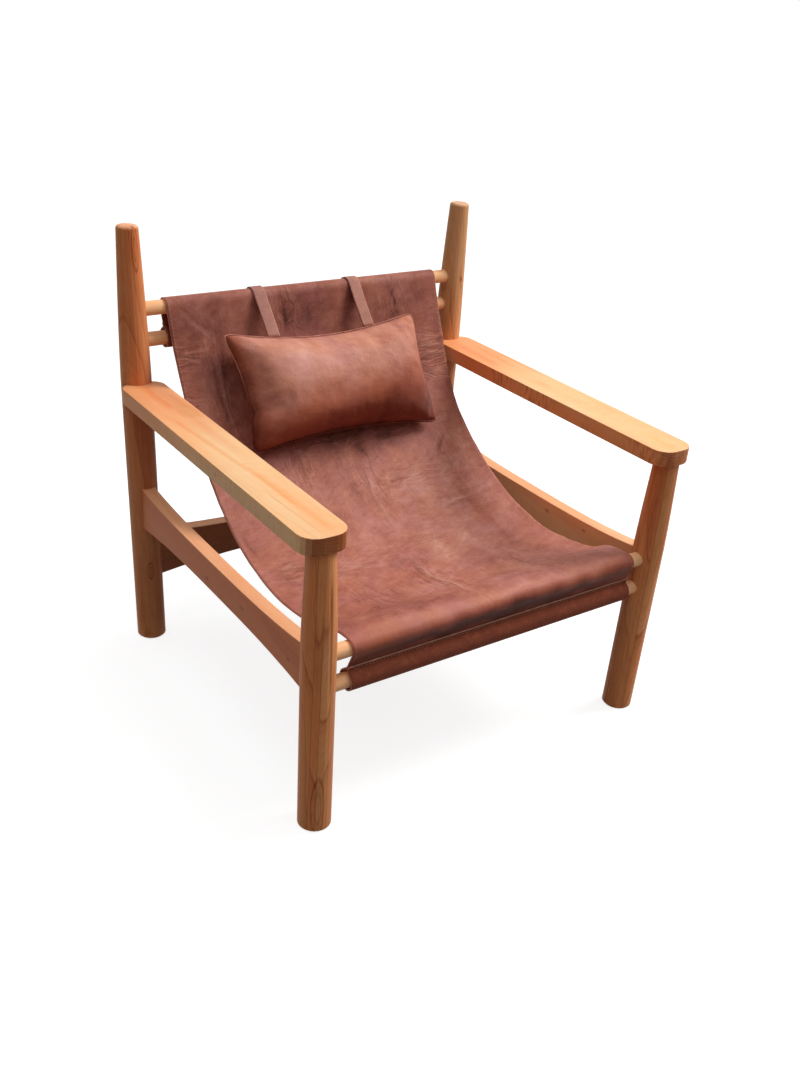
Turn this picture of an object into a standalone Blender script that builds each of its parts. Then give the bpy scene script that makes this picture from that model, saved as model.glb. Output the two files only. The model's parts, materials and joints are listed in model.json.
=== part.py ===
"""Low sling chair: a round-legged wooden frame, a leather sling over dowels and a head pillow.

The chair stands on z = 0 and faces -Y, with the origin at the middle of its base. Run it with
blender --background --python part.py, or from Blender's text editor.
"""

import math

import bmesh
import bpy
from mathutils import Matrix, Vector

# Sizes are in metres and angles in degrees.

# Legs and posts
leg_spacing = 0.700
leg_depth = 0.662
leg_splay = 1.1
post_lean = 0.8
leg_diameter = 0.057
foot_rounding = 0.003
front_taper_start = 0.350
front_top_diameter = 0.046
front_tenon_diameter = 0.026
front_tenon_length = 0.016
post_height = 0.838
post_taper_start = 0.560
post_top_diameter = 0.040
post_top_rounding = 0.006
taper_power = 1.3

# Arms
arm_top = 0.552
arm_thickness = 0.029
arm_width = 0.0815
arm_front_overhang = 0.026
arm_wrap = 0.016
arm_front_corner = 0.030
arm_back_corner = 0.024
arm_edge_rounding = 0.002

# Rails between the legs
side_rail_height = 0.299
side_rail_end = 0.084
side_rail_waist = 0.058
back_rail_height = 0.188
back_rail_end = 0.096
back_rail_waist = 0.066
rail_thickness = 0.026
rail_edge_rounding = 0.0015
rail_housing = 0.008
rail_curve_power = 3
tenon_thickness = 0.010
tenon_shoulder = 0.009
tenon_to_axis = 0.0085

# Dowels that carry the sling
dowel_diameter = 0.027
dowel_chamfer = 0.0015
dowel_wall = 0.004
back_upper_height = 0.686
back_lower_height = 0.628
front_upper_height = 0.329
front_lower_height = 0.270

# Screws that hold the arms to the posts, and the wooden plugs over their heads
screw_diameter = 0.007
screw_head_diameter = 0.013
screw_head_height = 0.004
screw_grip = 0.040
plug_length = 0.008
plug_cover = 0.014

# Sling
leather = 0.003
sling_side_room = 0.0455
sling_shift = 0.0015
sling_dish = 0.005
roll_gap = 0.0005
pocket_slack = 0.0025
seam_height = 0.020
flap_length = 0.009
fold_reach = 0.004
seat_back_angle = 72.5
seat_back_share = 0.535
seat_front_share = 0.320
crest_angle = 18.7
crest_back = 0.087
crest_drop = 0.0255
crest_reach = 0.013
crest_roll_reach = 0.050

# Pillow and its straps
pillow_width = 0.424
pillow_height = 0.230
pillow_angle = 60.3
pillow_drop = 0.187
pillow_standoff = 0.0375
pillow_crown = 0.072
pillow_back_crown = 0.045
pillow_seam = 0.008
pillow_top_draw = 0.022
pillow_foot_draw = 0.014
pillow_side_draw = 0.009
pillow_leather = 0.0015
pillow_mouth_share = 0.55
corner_share = 1.9
crown_width_power = 3.6
crown_height_power = 3.0
crown_power = 0.5
crown_sink_share = 0.16
filling_gap = 0.0008
filling_margin = 0.006
pillow_sling_gap = 0.0015
strap_width = 0.025
strap_thickness = 0.0025
strap_spacing = 0.214
strap_shift = -0.005
strap_tail = 0.024
stud_place = 0.016
stud_diameter = 0.004
stud_cap_diameter = 0.010
stud_cap_height = 0.002

# Clearance between pieces, how far a cutter runs past what it cuts, and what counts as one point
gap = 0.0003
overrun = 0.010
weld_distance = 0.00003

# Facets
leg_steps = 24
dowel_sides = 24
small_sides = 16
taper_steps = 6
corner_steps = 5
rail_steps = 14
arc_step = 18
seat_steps = 18
crest_steps = 5
sling_columns = 4
pillow_columns = 8
pillow_rows = 5

leg_radius = leg_diameter / 2
dowel_radius = dowel_diameter / 2
arm_bottom = arm_top - arm_thickness
arm_middle = arm_top - arm_thickness / 2
sling_width = leg_spacing - 2 * sling_side_room
splay_slope = math.tan(math.radians(leg_splay))
lean_slope = math.tan(math.radians(post_lean))
front_y = -(leg_depth + lean_slope * post_taper_start) / 2
back_y = front_y + leg_depth
roll_radius = dowel_radius + roll_gap + leather / 2
pocket_radius = dowel_radius + pocket_slack + leather / 2
strap_roll_radius = roll_radius + leather / 2 + roll_gap + strap_thickness / 2
sides = (("left", -1), ("right", 1))


def leg_x(z):
    """Distance of a leg's axis from the middle of the chair at height z."""
    return leg_spacing / 2 + splay_slope * z


def post_y(z):
    """Place of a back post's axis at height z."""
    return back_y + lean_slope * z


def taper_radius(z, start, top, top_radius):
    """Radius of a leg that is straight up to start and then narrows to top."""
    share = max(0, (z - start) / (top - start))
    return leg_radius - (leg_radius - top_radius) * share ** taper_power


def clear_scene():
    for old in list(bpy.data.objects):
        bpy.data.objects.remove(old, do_unlink=True)


def new_collection(name):
    collection = bpy.data.collections.new(name)
    bpy.context.scene.collection.children.link(collection)
    return collection


def new_material(name, colour, roughness, metallic=0):
    material = bpy.data.materials.new(name)
    material.use_nodes = True
    shader = material.node_tree.nodes["Principled BSDF"]
    shader.inputs["Base Color"].default_value = (*colour, 1)
    shader.inputs["Roughness"].default_value = roughness
    shader.inputs["Metallic"].default_value = metallic
    return material


def new_object(name, mesh, collection, material=None):
    item = bpy.data.objects.new(name, mesh)
    collection.objects.link(item)
    if material:
        item.data.materials.clear()
        item.data.materials.append(material)
    return item


def new_part(name, mesh, material):
    return new_object(name, mesh, parts, material)


def new_cutter(name, mesh):
    item = new_object(name, mesh, cutters)
    item.hide_render = True
    item.display_type = "WIRE"
    return item


def cut(target, tool, operation="DIFFERENCE"):
    modifier = target.modifiers.new(operation.title() + " " + tool.name, "BOOLEAN")
    modifier.operation = operation
    modifier.solver = "EXACT"
    modifier.object = tool


def evaluated_mesh(item):
    """The mesh of an object with its modifiers applied; the object is removed."""
    bpy.context.view_layer.update()
    depsgraph = bpy.context.evaluated_depsgraph_get()
    mesh = bpy.data.meshes.new_from_object(item.evaluated_get(depsgraph))
    bpy.data.objects.remove(item, do_unlink=True)
    return mesh


def smooth(mesh):
    mesh.shade_smooth()
    mesh.set_sharp_from_angle(angle=math.radians(35))


def round_edges(item, width, segments):
    modifier = item.modifiers.new("Rounded edges", "BEVEL")
    modifier.width = width
    modifier.segments = segments
    modifier.limit_method = "ANGLE"
    modifier.angle_limit = math.radians(50)


def turned_mesh(profile, steps):
    """Turn (radius, height) points, listed from the top down, about the Z axis."""
    mesh = bpy.data.meshes.new("Profile")
    points = [(radius, 0, height) for radius, height in profile]
    edges = [(i, i + 1) for i in range(len(points) - 1)]
    mesh.from_pydata(points, edges, [])
    item = new_object("Profile", mesh, parts)
    screw = item.modifiers.new("Turned", "SCREW")
    screw.axis = "Z"
    screw.steps = steps
    screw.render_steps = steps
    screw.use_merge_vertices = True
    screw.merge_threshold = weld_distance
    return evaluated_mesh(item)


def extruded_mesh(outline, thickness):
    """Fill a closed outline in the XY plane and give it a thickness about z = 0."""
    curve = bpy.data.curves.new("Outline", "CURVE")
    curve.dimensions = "2D"
    curve.fill_mode = "BOTH"
    curve.extrude = thickness / 2
    spline = curve.splines.new("POLY")
    spline.points.add(len(outline) - 1)
    for point, (x, y) in zip(spline.points, outline):
        point.co = (x, y, 0, 1)
    spline.use_cyclic_u = True
    mesh = evaluated_mesh(new_object("Outline", curve, parts))
    welded = bmesh.new()
    welded.from_mesh(mesh)
    bmesh.ops.remove_doubles(welded, verts=welded.verts, dist=weld_distance)
    bmesh.ops.recalc_face_normals(welded, faces=welded.faces)
    welded.to_mesh(mesh)
    welded.free()
    return mesh


def box_mesh(low, high):
    mesh = bpy.data.meshes.new("Box")
    cube = bmesh.new()
    bmesh.ops.create_cube(cube, size=1)
    size = Vector(high) - Vector(low)
    middle = (Vector(high) + Vector(low)) / 2
    bmesh.ops.scale(cube, verts=cube.verts, vec=size)
    bmesh.ops.translate(cube, verts=cube.verts, vec=middle)
    cube.to_mesh(mesh)
    cube.free()
    return mesh


def rod_mesh(radius, start, end, segments):
    """A cylinder from start to end."""
    start = Vector(start)
    end = Vector(end)
    mesh = bpy.data.meshes.new("Rod")
    rod = bmesh.new()
    bmesh.ops.create_cone(rod, cap_ends=True, segments=segments, radius1=radius, radius2=radius,
                          depth=(end - start).length)
    turn = (end - start).to_track_quat("Z", "Y").to_matrix().to_4x4()
    rod.transform(Matrix.Translation((start + end) / 2) @ turn)
    rod.to_mesh(mesh)
    rod.free()
    smooth(mesh)
    return mesh


def lean_mesh(mesh, side, is_post):
    """Slant an upright turned mesh: its level sections stay level, so the foot is flat."""
    slant = Matrix.Identity(4)
    slant[0][2] = side * splay_slope
    slant[0][3] = side * leg_spacing / 2
    slant[1][3] = front_y
    if is_post:
        slant[1][2] = lean_slope
        slant[1][3] = back_y
    mesh.transform(slant)
    smooth(mesh)
    return mesh


def taper_profile(start, top, top_radius):
    """Points down the narrowing stretch of a leg, from top to start."""
    heights = [top - (top - start) * i / taper_steps for i in range(taper_steps + 1)]
    return [(taper_radius(z, start, top, top_radius), z) for z in heights]


def foot_profile():
    return [(leg_radius, foot_rounding), (leg_radius - foot_rounding, 0), (0, 0)]


def front_leg_mesh(side):
    shoulder = arm_bottom - gap
    top_radius = front_top_diameter / 2
    tenon_radius = front_tenon_diameter / 2
    tenon_top = arm_bottom + front_tenon_length
    profile = [(0, tenon_top), (tenon_radius, tenon_top), (tenon_radius, shoulder)]
    profile += taper_profile(front_taper_start, shoulder, top_radius) + foot_profile()
    return lean_mesh(turned_mesh(profile, leg_steps), side, False)


def post_mesh(side):
    top_radius = post_top_diameter / 2
    crown_start = post_height - post_top_rounding
    profile = [(0, post_height)]
    for i in range(corner_steps):
        angle = math.radians(90 * i / corner_steps)
        inset = post_top_rounding * (1 - math.sin(angle))
        profile.append((top_radius - inset, crown_start + post_top_rounding * math.cos(angle)))
    profile += taper_profile(post_taper_start, crown_start, top_radius) + foot_profile()
    return lean_mesh(turned_mesh(profile, leg_steps), side, True)


def dowel_end(height):
    """How far from the middle a dowel stops, short of the rail's tenon in the same leg."""
    return leg_x(height) - tenon_thickness / 2 - dowel_wall


def socket_dowels(leg, name, y, height, side):
    """Bore a leg for the end of the dowel at a height."""
    outer = side * (dowel_end(height) + gap)
    inner = side * (leg_x(height) - leg_radius - overrun)
    tool = rod_mesh(dowel_radius + gap, (inner, y, height), (outer, y, height), dowel_sides)
    cut(leg, new_cutter(name, tool))


def build_dowel(name, y, height, material):
    end = dowel_end(height)
    mesh = rod_mesh(dowel_radius, (-end, y, height), (end, y, height), dowel_sides)
    round_edges(new_part(name, mesh, material), dowel_chamfer, 1)


class Rail:
    """A rail whose edges dip to a waist, with a housed stub tenon at each end.

    Its own frame has the length along X, the height along Y and the thickness along Z.
    """

    def __init__(self, name, half_span, end, waist, place, turn):
        self.name = name
        self.clear = half_span - leg_radius
        self.body = self.clear + rail_housing
        self.tenon = half_span - tenon_to_axis
        self.end = end
        self.waist = waist
        self.matrix = Matrix.Translation(place) @ turn

    def outline(self):
        top = [(-self.body, self.end / 2)]
        for i in range(rail_steps + 1):
            share = 2 * i / rail_steps - 1
            rise = (self.end - self.waist) / 2 * abs(share) ** rail_curve_power
            top.append((share * self.clear, self.waist / 2 + rise))
        top.append((self.body, self.end / 2))
        bottom = [(x, -y) for x, y in reversed(top)]
        return top + bottom

    def place(self, mesh):
        mesh.transform(self.matrix)
        return mesh

    def build(self, material):
        item = new_part(self.name, self.place(extruded_mesh(self.outline(), rail_thickness)), material)
        round_edges(item, rail_edge_rounding, 1)
        for direction in (-1, 1):
            ends = sorted((direction * (self.clear - overrun), direction * self.tenon))
            half = self.end / 2 - tenon_shoulder
            tenon = box_mesh((ends[0], -half, -tenon_thickness / 2), (ends[1], half, tenon_thickness / 2))
            cut(item, new_cutter(self.name + " tenon", self.place(tenon)), "UNION")

    def mortise(self, leg, direction):
        """Cut the housing and the tenon's mortise for one end of the rail."""
        start = direction * (self.clear - overrun)
        steps = ((self.body, self.end / 2, rail_thickness / 2),
                 (self.tenon, self.end / 2 - tenon_shoulder, tenon_thickness / 2))
        for reach, half_height, half_thickness in steps:
            ends = sorted((start, direction * (reach + gap)))
            low = (ends[0], -half_height - gap, -half_thickness - gap)
            high = (ends[1], half_height + gap, half_thickness + gap)
            cut(leg, new_cutter(self.name + " mortise", self.place(box_mesh(low, high))))


def side_rail(name, side):
    back = post_y(side_rail_height)
    place = (side * leg_x(side_rail_height), (back + front_y) / 2, side_rail_height)
    turn = Matrix.Rotation(math.radians(90), 4, "Z") @ Matrix.Rotation(math.radians(90), 4, "X")
    return Rail(name, (back - front_y) / 2, side_rail_end, side_rail_waist, place, turn)


def back_rail():
    place = (0, post_y(back_rail_height), back_rail_height)
    turn = Matrix.Rotation(math.radians(90), 4, "X")
    return Rail("back_rail", leg_x(back_rail_height), back_rail_end, back_rail_waist, place, turn)


def arm_outline(side):
    """A board with round corners, wider than the leg, that stops part way along the post."""
    middle = side * leg_x(arm_middle)
    front = front_y - arm_front_overhang
    back = post_y(arm_middle) - leg_radius + arm_wrap
    corners = ((1, front, arm_front_corner, 270), (1, back, arm_back_corner, 0),
               (-1, back, arm_back_corner, 90), (-1, front, arm_front_corner, 180))
    outline = []
    for across, edge, radius, first in corners:
        along = 1 if edge == back else -1
        centre = Vector((middle + across * (arm_width / 2 - radius), edge - along * radius))
        for i in range(corner_steps + 1):
            angle = math.radians(first + 90 * i / corner_steps)
            outline.append(centre + radius * Vector((math.cos(angle), math.sin(angle))))
    return outline


def screw_places():
    """Distances from the post's axis: the head's seat, the plug's foot and its outer end."""
    plug_radius = (screw_head_diameter + gap) / 2
    rim = math.sqrt(leg_radius ** 2 - plug_radius ** 2)
    seat = rim - plug_cover
    return seat, rim - plug_length, rim


def build_arm(side, label, material):
    mesh = extruded_mesh(arm_outline(side), arm_thickness)
    mesh.transform(Matrix.Translation((0, 0, arm_middle)))
    arm = new_part("arm_" + label, mesh, material)
    round_edges(arm, arm_edge_rounding, 2)
    socket_top = arm_bottom + front_tenon_length + gap
    socket_radius = front_tenon_diameter / 2 + gap
    socket = [(0, socket_top), (socket_radius, socket_top), (socket_radius, arm_bottom - overrun),
              (0, arm_bottom - overrun)]
    cut(arm, new_cutter("Arm socket", lean_mesh(turned_mesh(socket, leg_steps), side, False)))
    wrap_radius = leg_radius + gap
    wrap = [(0, arm_top + overrun), (wrap_radius, arm_top + overrun), (wrap_radius, arm_bottom - overrun),
            (0, arm_bottom - overrun)]
    cut(arm, new_cutter("Arm notch", lean_mesh(turned_mesh(wrap, leg_steps), side, True)))
    x = side * leg_x(arm_middle)
    axis = post_y(arm_middle)
    tip = axis - leg_radius - screw_grip - gap
    bore = rod_mesh(screw_diameter / 2 + gap, (x, tip, arm_middle), (x, axis, arm_middle), small_sides)
    cut(arm, new_cutter("Arm screw hole", bore))


def bore_post_for_screw(post, side):
    x = side * leg_x(arm_middle)
    axis = post_y(arm_middle)
    seat = axis + screw_places()[0]
    front = axis - leg_radius - overrun
    back = axis + leg_radius + overrun
    shank = rod_mesh(screw_diameter / 2 + gap, (x, front, arm_middle), (x, seat + gap, arm_middle), small_sides)
    head = rod_mesh(screw_head_diameter / 2 + gap, (x, seat, arm_middle), (x, back, arm_middle), small_sides)
    cut(post, new_cutter("Screw hole", shank))
    cut(post, new_cutter("Plug hole", head))


def build_arm_screw(side, label, material, plug_material):
    seat, plug_foot, rim = screw_places()
    profile = [(0, screw_head_height), (screw_head_diameter / 2, screw_head_height),
               (screw_head_diameter / 2, 0), (screw_diameter / 2, 0)]
    tip = -(seat + leg_radius + screw_grip)
    profile += [(screw_diameter / 2, tip + screw_diameter), (screw_diameter / 4, tip), (0, tip)]
    axis = post_y(arm_middle)
    x = side * leg_x(arm_middle)
    screw = turned_mesh(profile, small_sides)
    place = Matrix.Translation((x, axis + seat + gap, arm_middle))
    screw.transform(place @ Matrix.Rotation(math.radians(-90), 4, "X"))
    smooth(screw)
    new_part("arm_screw_" + label, screw, material)
    plug = rod_mesh(screw_head_diameter / 2, (x, axis + plug_foot, arm_middle), (x, axis + rim, arm_middle),
                    small_sides)
    new_part("arm_screw_plug_" + label, plug, plug_material)


def from_angle(degrees):
    return Vector((math.cos(math.radians(degrees)), math.sin(math.radians(degrees))))


def arc(centre, radius, start, end):
    """Points on an arc from one angle to another, in degrees."""
    count = max(1, round(abs(end - start) / arc_step))
    return [centre + radius * from_angle(start + (end - start) * i / count) for i in range(count + 1)]


def touch_angle(centre, radius, point, side):
    """Angle at which a straight line from a point touches a circle, on one side or the other."""
    away = point - centre
    return math.degrees(math.atan2(away.y, away.x) + side * math.acos(radius / away.length))


def bezier(start, start_handle, end_handle, end, steps):
    points = []
    for i in range(steps + 1):
        t = i / steps
        s = 1 - t
        points.append(s ** 3 * start + 3 * s * s * t * start_handle + 3 * s * t * t * end_handle + t ** 3 * end)
    return points


def fold(before, corner, after):
    """Round off a corner of a path."""
    start = corner + (before - corner).normalized() * fold_reach
    end = corner + (after - corner).normalized() * fold_reach
    return bezier(start, corner, corner, end, 3)


class Hem:
    """One end of the sling, where it rolls over an upper dowel and loops a lower one.

    Its plane has u pointing out of the chair and v up, from the upper dowel's axis.
    """

    def __init__(self, upper, lower, outward):
        self.upper = upper
        self.outward = outward
        self.lower = Vector((outward * (lower.x - upper.x), lower.y - upper.y))
        self.seam = self.lower + Vector((0, seam_height))
        self.roll_angle = touch_angle(Vector((0, 0)), roll_radius, self.seam, 1)
        self.roll_touch = roll_radius * from_angle(self.roll_angle)
        self.up = (self.roll_touch - self.seam).normalized()
        self.out = Vector((self.up.y, -self.up.x))

    def world(self, points):
        """Turn (u, v) points into (y, z) points."""
        return [Vector((self.upper.x + self.outward * p.x, self.upper.y + p.y)) for p in points]

    def path(self):
        """From the roll down the curtain, round the lower dowel and up to the flap's end."""
        flap_foot = self.seam + self.out * (leather + gap)
        inner = touch_angle(self.lower, pocket_radius, self.seam, 1)
        outer = touch_angle(self.lower, pocket_radius, flap_foot, -1) + 360
        loop = arc(self.lower, pocket_radius, inner, outer)
        flap_end = flap_foot + self.up * flap_length
        points = fold(self.roll_touch, self.seam, loop[0]) + loop + fold(loop[-1], flap_foot, flap_end)
        return self.world(points + [flap_end])

    def roll(self, tilt):
        """Over the upper dowel, from the curtain to where the seat leaves at a slope."""
        return self.world(arc(Vector((0, 0)), roll_radius, self.roll_angle, 90 + tilt))


back_upper = Vector((post_y(back_upper_height), back_upper_height))
back_lower = Vector((post_y(back_lower_height), back_lower_height))
front_upper = Vector((front_y, front_upper_height))
front_lower = Vector((front_y, front_lower_height))
back_hem = Hem(back_upper, back_lower, 1)
front_hem = Hem(front_upper, front_lower, -1)


def seat_path():
    """The sling's seat between the two upper dowels: a long sag and a crest at the front."""
    start = back_hem.roll(seat_back_angle)[-1]
    end = front_hem.roll(0)[-1]
    span = start.x - end.x
    down = Vector((-math.cos(math.radians(seat_back_angle)), -math.sin(math.radians(seat_back_angle))))
    rise = Vector((-math.cos(math.radians(crest_angle)), math.sin(math.radians(crest_angle))))
    crest = end + Vector((crest_back, -crest_drop))
    sag = bezier(start, start + down * seat_back_share * span, crest - rise * seat_front_share * span,
                 crest, seat_steps)
    brow = bezier(crest, crest + rise * crest_reach, end + Vector((crest_roll_reach, 0)), end, crest_steps)
    return sag[1:] + brow[1:-1]


def sling_path():
    back = list(reversed(back_hem.path())) + back_hem.roll(seat_back_angle)
    front = list(reversed(front_hem.roll(0))) + front_hem.path()
    return back, seat_path(), front


def bent_sheet(name, path, width, middle, columns, thickness, material, dish):
    """A sheet laid along a path of (y, z) points, with dish giving its sag at each point."""
    mesh = bpy.data.meshes.new(name)
    sheet = bmesh.new()
    rows = len(path) - 1
    bmesh.ops.create_grid(sheet, x_segments=columns, y_segments=rows, size=1)
    for vertex in sheet.verts:
        across = vertex.co.x
        row = round((vertex.co.y + 1) / 2 * rows)
        sag = dish[row] * (1 - across * across)
        vertex.co = (middle + across * width / 2, path[row].x, path[row].y - sag)
    sheet.to_mesh(mesh)
    sheet.free()
    item = new_part(name, mesh, material)
    solidify = item.modifiers.new("Leather", "SOLIDIFY")
    solidify.thickness = thickness
    solidify.offset = 0
    solidify.use_even_offset = True
    return item


def build_sling(material):
    back, seat, front = sling_path()
    path = back + seat + front
    dish = [0] * len(back)
    dish += [sling_dish * math.sin(math.pi * (i + 1) / (len(seat) + 1)) for i in range(len(seat))]
    dish += [0] * len(front)
    return bent_sheet("sling", path, sling_width, sling_shift, sling_columns, leather, material, dish)


def pillow_matrix():
    """The pillow's frame: X across, Y up the slope of the sling, Z out of its front."""
    turn = Matrix.Rotation(math.radians(pillow_angle), 4, "X")
    offset = turn @ Vector((0, -pillow_drop, pillow_standoff))
    return Matrix.Translation(Vector((0, back_upper.x, back_upper.y)) + offset) @ turn


def sling_distance(matrix):
    """A function: the room behind the pillow's seam plane at a place up its slope."""
    into = matrix.inverted()
    half = leather / 2
    places = []
    points = back_hem.roll(seat_back_angle)[-1:] + seat_path()
    for p, q in zip(points, points[1:]):
        normal = Vector((p.y - q.y, q.x - p.x)).normalized()
        if normal.y < 0:
            normal = -normal
        middle = (p + q) / 2 + normal * half
        local = into @ Vector((0, middle.x, middle.y))
        places.append((local.y, -local.z))
    places.sort()

    def room(y):
        for (y0, d0), (y1, d1) in zip(places, places[1:]):
            if y0 <= y <= y1:
                return d0 + (d1 - d0) * (y - y0) / (y1 - y0)
        return places[-1][1]

    return room


def pillow_mesh(matrix, inset, margin, pinch):
    """The pillow's skin: crowned, with drawn-in sides, and flat against the sling.

    A filling's skin is inset from the cover's, with a wider margin along the seam.
    """
    room = sling_distance(matrix)
    cage = bmesh.new()
    bmesh.ops.create_cube(cage, size=2)
    for axis, cuts in ((0, pillow_columns - 1), (1, pillow_rows - 1)):
        edges = [e for e in cage.edges if abs(e.verts[0].co[axis] - e.verts[1].co[axis]) > 1]
        bmesh.ops.subdivide_edges(cage, edges=edges, cuts=cuts, use_grid_fill=True)
    mouth = [f for f in cage.faces if f.normal.y < -0.9]
    for face in mouth:
        if abs(face.calc_center_median().x) < pillow_mouth_share:
            face.material_index = 1
    crease = cage.verts.layers.float.new("crease_vert")
    for vertex in cage.verts:
        u, w, side = vertex.co
        vertex[crease] = pinch if abs(u) + abs(w) > corner_share else 0
        sunk = w + crown_sink_share * (1 - w * w)
        swell = ((1 - abs(u) ** crown_width_power) * (1 - abs(sunk) ** crown_height_power)) ** crown_power
        x = u * (pillow_width / 2 - pillow_side_draw * (1 - w * w) - margin)
        draw = pillow_top_draw if w > 0 else pillow_foot_draw
        y = w * (pillow_height / 2 - draw * (1 - u * u) - margin)
        front = pillow_seam / 2 + (pillow_crown - pillow_seam / 2) * swell
        back = pillow_seam / 2 + (pillow_back_crown - pillow_seam / 2) * swell
        back = min(back, room(y) - pillow_sling_gap)
        vertex.co = (x, y, front - inset if side > 0 else inset - back)
    mesh = bpy.data.meshes.new("Pillow cage")
    cage.to_mesh(mesh)
    cage.free()
    item = new_object("Pillow cage", mesh, parts)
    item.data.materials.append(None)
    item.data.materials.append(None)
    subdivision = item.modifiers.new("Soft", "SUBSURF")
    subdivision.levels = 1
    subdivision.render_levels = 1
    return evaluated_mesh(item)


def keep_faces(mesh, index, inset):
    """Leave only the faces with a material index, drawn in from their border."""
    kept = bmesh.new()
    kept.from_mesh(mesh)
    others = [f for f in kept.faces if f.material_index != index]
    bmesh.ops.delete(kept, geom=others, context="FACES")
    if inset:
        ring = bmesh.ops.inset_region(kept, faces=kept.faces, thickness=inset, use_boundary=True)
        bmesh.ops.delete(kept, geom=ring["faces"], context="FACES")
    kept.to_mesh(mesh)
    kept.free()


def build_pillow(hinge, material, filling_material, zip_material):
    matrix = pillow_matrix()
    skin = pillow_mesh(matrix, 0, 0, 1)
    tops = [top_edge(skin, strap_shift + side * strap_spacing / 2) for label, side in sides]
    core = pillow_mesh(matrix, pillow_leather + filling_gap, filling_margin, 0)
    filling = new_part("pillow_filling", core, filling_material)
    tape = skin.copy()
    keep_faces(tape, 1, pillow_leather + gap)
    keep_faces(skin, 0, 0)
    cover = new_part("pillow_cover", skin, material)
    fastener = new_part("pillow_zip", tape, zip_material)
    for item in (cover, fastener):
        solidify = item.modifiers.new("Thickness", "SOLIDIFY")
        solidify.thickness = pillow_leather
        solidify.offset = -1
    for item in (filling, cover, fastener):
        item.data.shade_smooth()
        item.parent = hinge
        item.matrix_world = matrix
    return matrix, tops


def top_edge(skin, x):
    """How far up its slope the pillow reaches across the width of a strap."""
    heights = []
    for place in (x - strap_width / 2, x, x + strap_width / 2):
        for edge in skin.edges:
            p, q = [skin.vertices[i].co for i in edge.vertices]
            if (p.x - place) * (q.x - place) < 0:
                heights.append(p.y + (q.y - p.y) * (place - p.x) / (q.x - p.x))
    return max(heights)


def build_strap(name, x, seam_point, material):
    """From the curtain behind, over the roll and down to the pillow's top seam."""
    lift = leather / 2 + roll_gap + strap_thickness / 2
    tail_top = back_hem.roll_touch + back_hem.out * lift
    tail_end = tail_top - back_hem.up * strap_tail
    local = Vector((back_hem.outward * (seam_point.x - back_upper.x), seam_point.y - back_upper.y))
    leave = touch_angle(Vector((0, 0)), strap_roll_radius, local, -1)
    if leave < 0:
        leave += 360
    wrap = arc(Vector((0, 0)), strap_roll_radius, back_hem.roll_angle, leave)
    rise = (wrap[-1] - local).normalized()
    slope = from_angle(pillow_angle)
    climb = rise.x * back_hem.outward * slope.x + rise.y * slope.y
    end = local + rise * (gap + strap_thickness / 2 * math.sqrt(1 - climb * climb)) / climb
    path = back_hem.world([tail_end] + wrap + [(wrap[-1] + end) / 2, end])
    flat = [0] * len(path)
    return bent_sheet(name, path, strap_width, x, 1, strap_thickness, material, flat)


def stud_mesh(x):
    """A press stud through the strap and the curtain, with a cap on each side."""
    layers = leather + roll_gap + strap_thickness
    cap_radius = stud_cap_diameter / 2
    shaft_radius = stud_diameter / 2
    top = layers + gap
    profile = [(0, top + stud_cap_height), (cap_radius, top + stud_cap_height), (cap_radius, top),
               (shaft_radius, top), (shaft_radius, -gap), (cap_radius, -gap),
               (cap_radius, -gap - stud_cap_height), (0, -gap - stud_cap_height)]
    mesh = turned_mesh(profile, small_sides)
    mesh.transform(stud_matrix(x))
    smooth(mesh)
    return mesh


def stud_matrix(x):
    """The stud's frame: Z points out of the chair, and z = 0 is the curtain's inner face."""
    foot = back_hem.roll_touch - back_hem.up * stud_place - back_hem.out * leather / 2
    place = back_hem.world([foot])[0]
    out = Vector((0, back_hem.outward * back_hem.out.x, back_hem.out.y))
    return Matrix.Translation((x, place.x, place.y)) @ out.to_track_quat("Z", "Y").to_matrix().to_4x4()


def hole_for_stud(x):
    layers = leather + roll_gap + strap_thickness
    tool = rod_mesh(stud_diameter / 2 + gap, (0, 0, -overrun / 2), (0, 0, layers + overrun / 2), small_sides)
    tool.transform(stud_matrix(x))
    return new_cutter("Stud hole", tool)


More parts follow.
